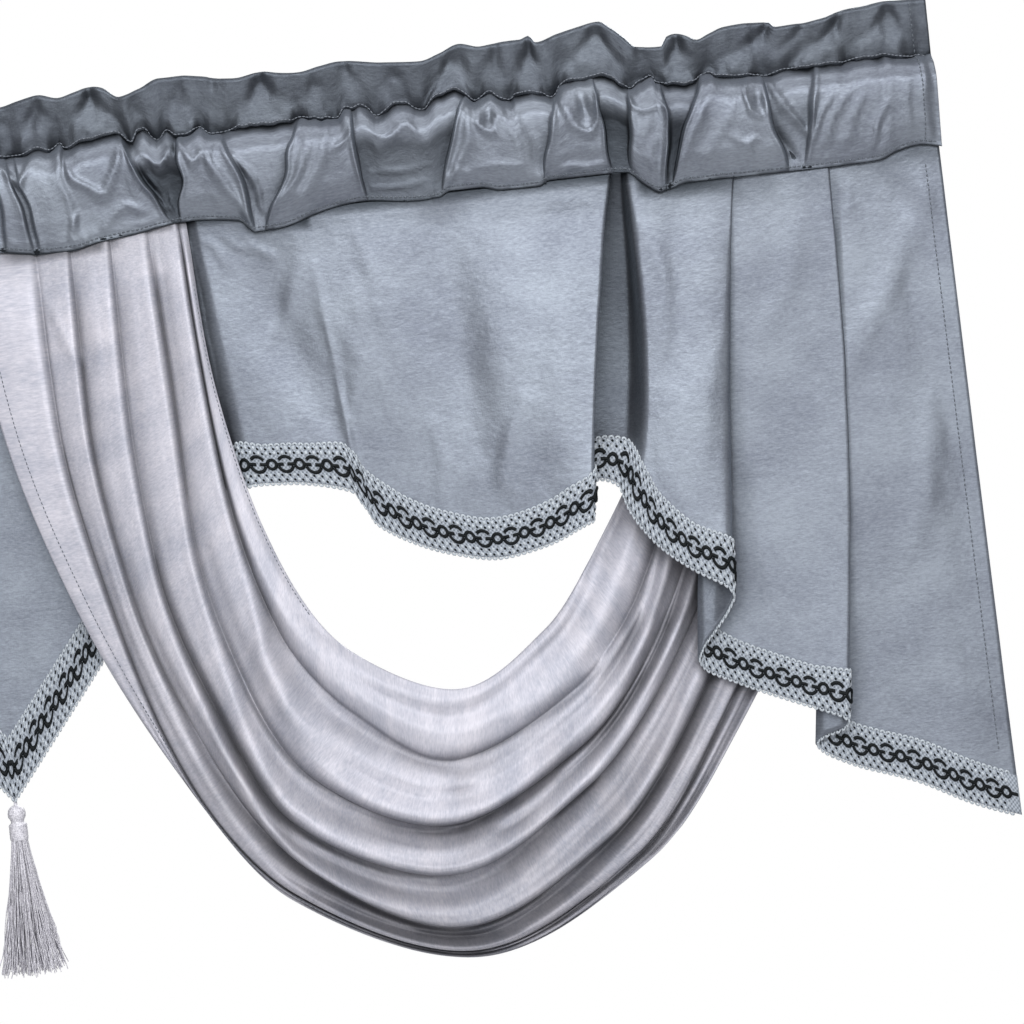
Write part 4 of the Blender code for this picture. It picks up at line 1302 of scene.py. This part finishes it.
# %% The stitch tree
stitch_group, tree, given = geometry_tree(
    "machine_stitches", {"Pitch": 0.0036, "Stitch Length": 0.0030, "Thread": 0.0009}
)
curve = tree.out("GeometryNodeMeshToCurve", {"Mesh": given["Geometry"]})
steps = {"Curve": curve, "Length": given["Pitch"]}
stitch = {
    "Points": tree.out("GeometryNodeResampleCurve", steps, mode="LENGTH"),
    "Instance": tree.out("GeometryNodeMeshIcoSphere", {"Radius": 0.5, "Subdivisions": 1}),
    "Rotation": tree.out(
        "FunctionNodeAlignEulerToVector", {"Vector": tree.out("GeometryNodeInputTangent")}, axis="X"
    ),
    "Scale": tree.spot(X=given["Stitch Length"], Y=given["Thread"], Z=given["Thread"]),
}
finish_tree(tree, tree.out("GeometryNodeInstanceOnPoints", stitch), given["Finish"])


def stitch_row(name, points, slot_name="steel_satin", finish=STEEL_THREAD, **values):
    """A row of stitches along a line. The values are in metres, for the tree's named inputs."""
    made = grow(line_object(name, points), stitch_group, finish=finish, **values)
    print(f"{name}: {length_of(points):.0f} mm of stitches")
    return keep(made, slot_name)


# %% Seams of the heading
def line_inside(points, distance, first, last, lift=0.5):
    """A line that runs a distance in from the last row of a grid, over some of its columns."""
    line = []
    for column in points[::-1].transpose(1, 0, 2)[first:last]:
        gone = walked(np.linalg.norm(np.diff(column, axis=0), axis=1))
        line.append([np.interp(distance, gone, column[:, k]) for k in range(3)])
    return np.array(line) + np.array((0, -lift, 0))


SIDE_HEM = 13.0
HEM_THREAD = 0.0012
FRONT_SEAMS = (0.012, 0.955)  # shares of the ruffle and of the pocket's front at which they are sewn
BACK_SEAMS = (0.07, 0.965)
upper = ruffle(FRONT_SEAMS[:1], -1)[0] + np.array((0, -0.75, 0))
lower = pocket_front(FRONT_SEAMS[1:])[0] + np.array((0, -0.25, 0))
upper, lower = (row[np.abs(row[:, 0]) < HALF_WIDTH - 5] for row in (upper, lower))
back_rows = pocket_back(BACK_SEAMS)[:, 3:-3] + np.array((0, 0.3, 0))
long_stitch = {"pitch": 0.0031, "stitch_length": 0.0036, "thread": 0.0010}
pocket_stitches = [
    stitch_row("stitches_upper_seam", upper, finish=PALE_THREAD, **long_stitch),
    stitch_row("stitches_lower_seam", lower, thread=0.0015),
    stitch_row("stitches_lower_seam_back", back_rows[0]),
    stitch_row("stitches_upper_seam_back", back_rows[1]),
]
ruffle_stitches = []
for side, way in (("right", 1), ("left", -1)):
    pocket_end, ruffle_end = (part[:, ::way].transpose(1, 0, 2) for part in (front, before))
    for name, line, sewn in (
        ("pocket_end", line_inside(pocket_end, SIDE_HEM, 2, -4, 0.2), pocket_stitches),
        ("ruffle_end", line_inside(ruffle_end, SIDE_HEM, 1, -2, 0.6), ruffle_stitches),
    ):
        sewn.append(stitch_row(f"stitches_{name}_{side}", line, thread=HEM_THREAD))

# %% Hems of the swags and of the side panels
outer_hem = line_inside(swag, 11.0, 12, 128)
inner_hem = line_inside(swag[::-1], 3.0, 14, 92)
panel_hem = line_inside(panel.transpose(1, 0, 2), SIDE_HEM - 1, 3, -10)
hem_stitches = {}
for side, turn in (("right", 1.0), ("left", -1.0)):
    turned = np.array((turn, 1.0, 1.0))
    hem_stitches[f"swag_{side}"] = [
        stitch_row(f"stitches_swag_{side}_outer", outer_hem * turned, "lilac_satin"),
        stitch_row(f"stitches_swag_{side}_inner", inner_hem * turned, "lilac_satin"),
    ]
    hem_stitches[f"panel_{side}"] = [
        stitch_row(f"stitches_panel_{side}", panel_hem * turned, thread=HEM_THREAD)
    ]

# %% [markdown]
# ## The braid
#
# The braid comes off a reel as a flat tape 28 mm wide: a pale knitted ground with looped edges,
# rows of dark dots, and a chain of dark cord on its centre line, a small ring and a large link in
# turn. It is made the same way here. A tree lays rings, links, dots and loops on a flat strip, and
# then finds for each of their points the spot on the draped tape with the same two coordinates.

# %% The tape, laid on the lowest part of its cloth
TAPE = 1.0  # its thickness
TAPE_GAP = 0.35
TAPE_LIFT = CLOTH / 2 + TAPE_GAP + TAPE / 2


def tape_points(cloth_points, tape_rows):
    """Points of the tape's middle and unit normals, from its upper edge to the hem."""
    lift = normals_of(cloth_points)[-tape_rows:]
    return cloth_points[-tape_rows:] + lift * TAPE_LIFT, lift


def tape_uv(points):
    """Distance along the tape and across it in metres, the hem at zero."""
    middle = points[len(points) // 2]
    u = walked(np.linalg.norm(np.diff(middle, axis=0), axis=1)) * MM
    v = np.linspace(BRAID_WIDTH, 0, len(points)) * MM
    return np.stack(np.meshgrid(u, v), 2)


# %% The tree that lays a flat pattern on the tape
def on_tape(tree, tape, flat):
    """Moves a flat pattern, x along, y across and z up, to the tape that has those coordinates."""
    place = tree.out("GeometryNodeInputPosition")
    parts = tree.add("ShaderNodeSeparateXYZ", {0: place}).outputs
    uv, facing = (
        tree.out("GeometryNodeInputNamedAttribute", {"Name": name}, data_type="FLOAT_VECTOR")
        for name in ("threads", "facing")
    )
    here = {"Mesh": tape, "Source UV Map": uv, "Sample UV": tree.spot(X=parts["X"], Y=parts["Y"])}
    place, facing = (
        tree.add("GeometryNodeSampleUVSurface", {**here, "Value": value}, data_type="FLOAT_VECTOR")
        for value in (place, facing)
    )
    lift = tree.vector("SCALE", {0: facing.outputs["Value"], "Scale": parts["Z"]})
    spot = tree.vector("ADD", {0: place.outputs["Value"], 1: lift})
    real = tree.out("GeometryNodeRealizeInstances", {0: flat})
    return tree.out("GeometryNodeSetPosition", {"Geometry": real, "Position": spot})


def row_of(tree, what, count, pitch, first, across, height=0.0):
    """Repeats a shape along the tape: a count of them, a pitch apart, from a first place on."""
    start = tree.spot(X=first, Y=across, Z=height)
    line = {"Count": count, "Start Location": start, "Offset": tree.spot(X=pitch)}
    points = tree.out("GeometryNodeMeshLine", line)
    return tree.out("GeometryNodeInstanceOnPoints", {"Points": points, "Instance": what})


# %% Cords, arcs and counts for the patterns
def cord_along(tree, curve, thickness, sides=6):
    """A cord along a curve, closed at its ends."""
    profile = tree.out("GeometryNodeCurvePrimitiveCircle", {"Resolution": sides, "Radius": thickness})
    cord = {"Curve": curve, "Profile Curve": profile, "Fill Caps": True}
    return tree.out("GeometryNodeCurveToMesh", cord)


def arc(tree, resolution, radius, start, sweep):
    """Part of a circle, from a start angle over a sweep in degrees."""
    angles = {"Start Angle": math.radians(start), "Sweep Angle": math.radians(sweep)}
    curve = {"Resolution": resolution, "Radius": radius, **angles}
    return tree.out("GeometryNodeCurveArc", curve, mode="RADIUS")


def joined(tree, *shapes):
    join = tree.add("GeometryNodeJoinGeometry")
    for shape in shapes:
        tree.tree.links.new(shape, join.inputs[0])
    return join.outputs[0]


def counted(tree, length, pitch, spare):
    """How many whole steps fit in a length with a share of a step to spare."""
    steps = tree.reckon("SUBTRACT", tree.reckon("DIVIDE", length, pitch), spare)
    return tree.out("FunctionNodeFloatToInt", {0: steps}, rounding_mode="FLOOR")


# %% The chain
CHAIN_PITCH = 0.0211
LINK_ARCS = ((36, 108), (196, 148))  # start and sweep of the two halves of a large link

chain_group, tree, given = geometry_tree("braid_chain", {
    "Length": 0.8,
    "Pitch": CHAIN_PITCH,
    "Middle": 0.014,
    "Small Ring": 0.0035,
    "Large Link": 0.0058,
    "Cord": 0.00125,
    "Height": 0.0011,
})
length, pitch, across, height = (given[name] for name in ("Length", "Pitch", "Middle", "Height"))
ring = tree.out("GeometryNodeCurvePrimitiveCircle", {"Resolution": 14, "Radius": given["Small Ring"]})
bars = []
for sign in (1.0, -1.0):
    begin = tree.spot(X=tree.reckon("MULTIPLY", given["Small Ring"], sign))
    end = tree.spot(X=tree.reckon("MULTIPLY", pitch, 0.43 * sign), Z=0.0003)
    bars.append(tree.out("GeometryNodeCurvePrimitiveLine", {"Start": begin, "End": end}))
arcs = [arc(tree, 9, given["Large Link"], *angles) for angles in LINK_ARCS]
small = cord_along(tree, joined(tree, ring, *bars), given["Cord"])
large = cord_along(tree, joined(tree, *arcs), given["Cord"])
half = tree.reckon("MULTIPLY", pitch, 0.5)
flat = joined(
    tree,
    row_of(tree, small, counted(tree, length, pitch, -0.01), pitch, half, across, height),
    row_of(tree, large, counted(tree, length, pitch, 0.99), pitch, pitch, across, height),
)
finish_tree(tree, on_tape(tree, given["Geometry"], flat), given["Finish"])

# %% Dots and knots
EDGE_PITCH = 0.0061
EDGE_HEIGHT = 0.00055
EDGE_ROWS = ((1.0, 0.25), (2.6, 0.75))  # how many insets from the edge, and the first one in pitches

edge_group, tree, given = geometry_tree("braid_edge", {
    "Length": 0.8,
    "Width": BRAID_WIDTH * MM,
    "Pitch": EDGE_PITCH,
    "Inset": 0.0022,
    "Bead": 0.0012,
    "Tall": 1.0,
    "Turn": 0.35,
    "Shift": 0.0,
})
pitch = given["Pitch"]
bead = {
    "Geometry": tree.out("GeometryNodeMeshIcoSphere", {"Radius": given["Bead"], "Subdivisions": 1}),
    "Scale": tree.spot(X=1.0, Y=given["Tall"], Z=0.6),
    "Rotation": tree.spot(Z=given["Turn"]),
}
knot = tree.out("GeometryNodeTransform", bead)
count = counted(tree, given["Length"], pitch, 1.0)
rows = []
for insets, step in EDGE_ROWS:
    inset = tree.reckon("MULTIPLY", given["Inset"], insets)
    first = tree.reckon("ADD", tree.reckon("MULTIPLY", pitch, step), given["Shift"])
    for across in (inset, tree.reckon("SUBTRACT", given["Width"], inset)):
        rows.append(row_of(tree, knot, count, pitch, first, across, EDGE_HEIGHT))
finish_tree(tree, on_tape(tree, given["Geometry"], joined(tree, *rows)), given["Finish"])

# %% Loops along the edges
loop_group, tree, given = geometry_tree("braid_loops", {
    "Length": 0.8,
    "Width": BRAID_WIDTH * MM,
    "Pitch": 0.0046,
    "Loop": 0.0015,
    "Thread": 0.00085,
})
pitch = given["Pitch"]
count = counted(tree, given["Length"], pitch, 1.0)
rows = []
for start, share in ((180, 0.0), (0, 1.0)):
    loop = cord_along(tree, arc(tree, 6, given["Loop"], start, 180), given["Thread"], 4)
    across = tree.reckon("MULTIPLY", given["Width"], share)
    rows.append(row_of(tree, loop, count, pitch, pitch, across))
finish_tree(tree, on_tape(tree, given["Geometry"], joined(tree, *rows)), given["Finish"])

# %% The knitted ground of the tape
RIB = EDGE_PITCH / 2
COURSE = 0.0035


def knitted(name):
    """A knit whose raised loops stand in ribs along the tape and in courses across it."""
    made, tree = new_finish(name)
    place = tree.out("ShaderNodeUVMap", uv_map="threads")
    parts = tree.add("ShaderNodeSeparateXYZ", {0: place}).outputs
    ribs = tree.reckon("SINE", tree.reckon("MULTIPLY", parts["X"], 2 * math.pi / RIB))
    courses = tree.reckon("SINE", tree.reckon("MULTIPLY", parts["Y"], 2 * math.pi / COURSE))
    knit = between(tree, tree.reckon("MULTIPLY", ribs, courses), -1.0, 1.0, 0.15, 0.85)
    fuzz = tree.add("ShaderNodeTexNoise", {"Vector": place, "Scale": 1500.0, "Detail": 3.0}).outputs["Fac"]
    level = tree.reckon("MULTIPLY", tree.reckon("ADD", knit, fuzz), 0.5)
    shade(tree, {
        "Base Color": tone(tree, level, 0.28, 0.68, (0.09, 0.105, 0.13), (0.42, 0.465, 0.53)),
        "Roughness": 0.7,
        "Normal": tree.out("ShaderNodeBump", {"Height": level, "Strength": 0.7, "Distance": 0.0007}),
        "Sheen Weight": 0.25,
    })
    return made


ICE_KNIT = knitted("ice_knit")
print("pattern trees:", chain_group.name, edge_group.name, loop_group.name)


# %% One braid: its tape, chain, dots and loops
TAPE_ROWS = BRAID_ROWS + 1
SPARE = 0.1  # the strip that the patterns are laid on runs this share past both edges of the tape
PATTERNS = (
    # name, tree, finish, values for the tree's inputs
    ("chain", chain_group, DARK_CORD, {}),
    ("dots", edge_group, DARK_CORD, {"bead": 0.0011, "tall": 1.0}),
    ("knots", edge_group, ICE_YARN, {"shift": EDGE_PITCH / 2, "bead": 0.00145, "tall": 1.35}),
    ("loops", loop_group, ICE_YARN, {}),
)


def lay_braid(name, cloth_points):
    """A braid along the hem of a cloth: gives its tape, the patterns on it, and its length."""
    points, facing = tape_points(cloth_points, TAPE_ROWS)
    uv = tape_uv(points)
    length = float(uv[0, -1, 0])
    tape = keep(sheet(f"{name}_tape", points, TAPE, ICE_KNIT, 0.0, uv), "braid_yarn", name)
    upper_edge = points[:1] + (points[:1] - points[1:2]) * SPARE * (TAPE_ROWS - 1)
    lower_edge = points[-1:] + (points[-1:] - points[-2:-1]) * SPARE * (TAPE_ROWS - 1)
    wide = np.concatenate([upper_edge, points, lower_edge])
    wide_facing = np.concatenate([facing[:1], facing, facing[-1:]])
    margin = np.array((0, SPARE * BRAID_WIDTH * MM))
    wide_uv = np.concatenate([uv[:1] + margin, uv, uv[-1:] - margin])
    whole_pitch = {"pitch": length / round(length / CHAIN_PITCH)}
    made = []
    for label, group, finish, values in PATTERNS:
        strip = grid_mesh(f"{name}_{label}", wide, finish, wide_uv)
        normal = strip.data.attributes.new("facing", "FLOAT_VECTOR", "POINT")
        normal.data.foreach_set("vector", wide_facing.astype(np.float32).ravel())
        fitted = whole_pitch if group == chain_group else {}
        pattern = grow(strip, group, length=length, finish=finish, **values, **fitted)
        made.append(keep(pattern, "braid_yarn"))
    print(f"{name}: {length * 1000:.0f} mm of braid")
    return tape, made, length


braid_right = lay_braid("braid_right", panel)
braid_left = lay_braid("braid_left", mirrored(panel))
braid_centre = lay_braid("braid_centre", centre)

# %% [markdown]
# ## The tassel
#
# A tassel is a hank of thread folded over a ball and bound with a collar. The head is a turned
# profile wound with thread, and the skirt is some hundreds of threads that fan out a little under
# the collar. Geometry Nodes draw the threads from a fixed seed.

# %% The head of the tassel
TASSEL_PROFILE = (
    # radius, how far below the tip
    (1.2, 0.4), (1.3, 2.5), (1.4, 4.5), (3.2, 4.9), (4.9, 6.0), (6.3, 8.2), (6.9, 10.8), (6.6, 13.4),
    (5.4, 15.6), (4.9, 17.0), (5.3, 18.0), (6.6, 19.2), (7.1, 20.4), (6.7, 21.4), (7.1, 22.4), (6.8, 23.4),
    (7.1, 24.4), (6.8, 25.4), (7.1, 26.4), (6.8, 27.6), (7.1, 29.0), (6.8, 31.0), (5.8, 32.0), (3.0, 32.4),
)
SKIRT = 106.0  # length of the longest threads
COLLAR = 28.0  # how far below the tip the threads begin
WINDINGS = (12, 0.10)  # how many threads wind round the head, and how far they stand out
tip = centre[-1][len(centre[-1]) // 2]


def turned_head(name, sides=48):
    """The profile turned about the tassel's axis, closed at both poles."""
    bm = bmesh.new()
    rings = []
    for radius, below in TASSEL_PROFILE:
        ring = []
        for k in range(sides):
            angle = 2 * math.pi * k / sides
            wound = radius + WINDINGS[1] * math.sin(WINDINGS[0] * angle + 0.9 * below) * (radius > 4)
            place = tip + np.array((wound * math.cos(angle), wound * math.sin(angle), -below))
            ring.append(bm.verts.new(place * MM))
        rings.append(ring)
    for above_ring, below_ring in zip(rings, rings[1:]):
        for k in range(sides):
            after = (k + 1) % sides
            bm.faces.new((above_ring[k], below_ring[k], below_ring[after], above_ring[after]))
    bm.faces.new(rings[0])
    bm.faces.new(rings[-1][::-1])
    bmesh.ops.recalc_face_normals(bm, faces=bm.faces)
    mesh = bpy.data.meshes.new(name)
    bm.to_mesh(mesh)
    bm.free()
    mesh.shade_smooth()
    mesh.materials.append(TASSEL_THREAD)
    return put(name, mesh)


keep(turned_head("tassel_head"), "tassel_yarn", "tassel")

# %% The threads of the skirt
skirt_group, tree, given = geometry_tree("tassel_threads", {
    "Threads": 300,
    "Root Radius": 0.0058,
    "Foot Radius": 0.0255,
    "Length": SKIRT * MM,
    "Thread": 0.00045,
    "Wave": 0.0026,
    "Seed": 7,
    "Collar": (0.0, 0.0, 0.0),
})


def chance(low, high, seed_step):
    """A random number for each thread."""
    limits = {"Min": low, "Max": high, "Seed": tree.reckon("ADD", given["Seed"], seed_step)}
    return tree.add("FunctionNodeRandomValue", limits, data_type="FLOAT").outputs["Value"]


hank = tree.out("GeometryNodeMeshLine", {"Count": given["Threads"]})
for label, *limits in (("turn", 0.0, 2 * math.pi, 1.0), ("share", 0.0, 1.0, 2.0), ("end", 0.93, 1.0, 3.0)):
    noted = {"Geometry": hank, "Name": label, "Value": chance(*limits)}
    hank = tree.out("GeometryNodeStoreNamedAttribute", noted, data_type="FLOAT")
line = tree.out("GeometryNodeCurvePrimitiveLine", {"Start": (0, 0, 0), "End": (0, 0, -1)})
line = tree.out("GeometryNodeResampleCurve", {"Curve": line, "Count": 12}, mode="COUNT")
hank = tree.out("GeometryNodeInstanceOnPoints", {"Points": hank, "Instance": line})
hank = tree.out("GeometryNodeRealizeInstances", {0: hank})
turn, share, end = (
    tree.out("GeometryNodeInputNamedAttribute", {"Name": label}, data_type="FLOAT")
    for label in ("turn", "share", "end")
)

# %% The fan of the skirt and its sway
gone = tree.add("GeometryNodeSplineParameter").outputs["Factor"]
reckon = tree.reckon
opened = reckon("SUBTRACT", given["Foot Radius"], given["Root Radius"])
radius = reckon("MULTIPLY_ADD", opened, reckon("POWER", gone, 1.2), given["Root Radius"])
radius = reckon("MULTIPLY", radius, reckon("POWER", share, 0.5))
down = reckon("MULTIPLY", reckon("MULTIPLY", gone, given["Length"]), end)
where = tree.spot(
    X=reckon("MULTIPLY", radius, reckon("COSINE", turn)),
    Y=reckon("MULTIPLY", radius, reckon("SINE", turn)),
    Z=reckon("MULTIPLY", down, -1.0),
)
noise_place = tree.spot(
    X=reckon("MULTIPLY", turn, 9.0), Y=reckon("MULTIPLY", share, 17.0), Z=reckon("MULTIPLY", gone, 4.5)
)
noise = {"Vector": noise_place, "Scale": 1.0, "Detail": 2.0}
sway = tree.add("ShaderNodeTexNoise", noise).outputs["Color"]
sway = tree.vector("SUBTRACT", {0: sway, 1: (0.5, 0.5, 0.5)})
loose = reckon("MULTIPLY", given["Wave"], reckon("MULTIPLY", gone, 4.0))
where = tree.vector("ADD", {0: where, 1: tree.vector("SCALE", {0: sway, "Scale": loose})})
where = tree.vector("ADD", {0: where, 1: given["Collar"]})
hank = tree.out("GeometryNodeSetPosition", {"Geometry": hank, "Position": where})
finish_tree(tree, cord_along(tree, hank, given["Thread"], 3), given["Finish"])

collar = tuple((tip + np.array((0, 0, -COLLAR))) * MM)
skirt_line = line_object("tassel_skirt", [tip, tip + 1.0])
keep(grow(skirt_line, skirt_group, collar=collar, finish=TASSEL_THREAD), "tassel_yarn")

# %% [markdown]
# ## What each sheet was cut to
#
# The photograph shows the cloth hung, never flat, so each flat size is worked out from the drape:
# the width and height of the smallest rectangle that it was cut from, and the area of the cut.

def declare(piece, flat, area=None):
    """Prints what a sheet was cut to and how much cloth the model has."""
    cut = area or flat[0] * flat[1]
    print(f"{piece.name}: cut {flat[0]:.3f} x {flat[1]:.3f} m, {cut:.4f} of {area_of(piece):.4f} m2")


def edges_of(points):
    """Length of the last row and of the middle column of a grid, in metres."""
    return length_of(points[-1]) * MM, length_of(points[:, points.shape[1] // 2]) * MM


# flat sizes in metres
STRIP_LENGTH = 1.90  # the heading's strip before it is gathered on the rod
POCKET_CUT = 0.19  # front, back and seams of the pocket
RUFFLE_CUT = 0.08  # front and back of the ruffle
SIDE_DROP = 0.523  # a side panel's longest drop, at its outer end
CENTRE_DROP = 0.427

declare(pocket, (STRIP_LENGTH, POCKET_CUT))
declare(header, (STRIP_LENGTH, RUFFLE_CUT))
for made, side in ((swag_right, "right"), (swag_left, "left")):
    sewn = hem_stitches[f"swag_{side}"]
    declare(made, edges_of(swag), area=area_of(made))
for made, braid, side in ((side_right, braid_right, "right"), (side_left, braid_left, "left")):
    sewn = hem_stitches[f"panel_{side}"]
    declare(made, (braid[2], SIDE_DROP), area=area_of(made))
centre_cut = (2 * CENTRE_HALF_WIDTH * MM, CENTRE_DROP)
declare(centre_cloth, centre_cut, area=area_of(centre_cloth))
braids = (braid_right, braid_left, braid_centre)
for (tape, ornament, length), cloth in zip(braids, (side_right, side_left, centre_cloth)):
    declare(tape, (length, BRAID_WIDTH * MM))
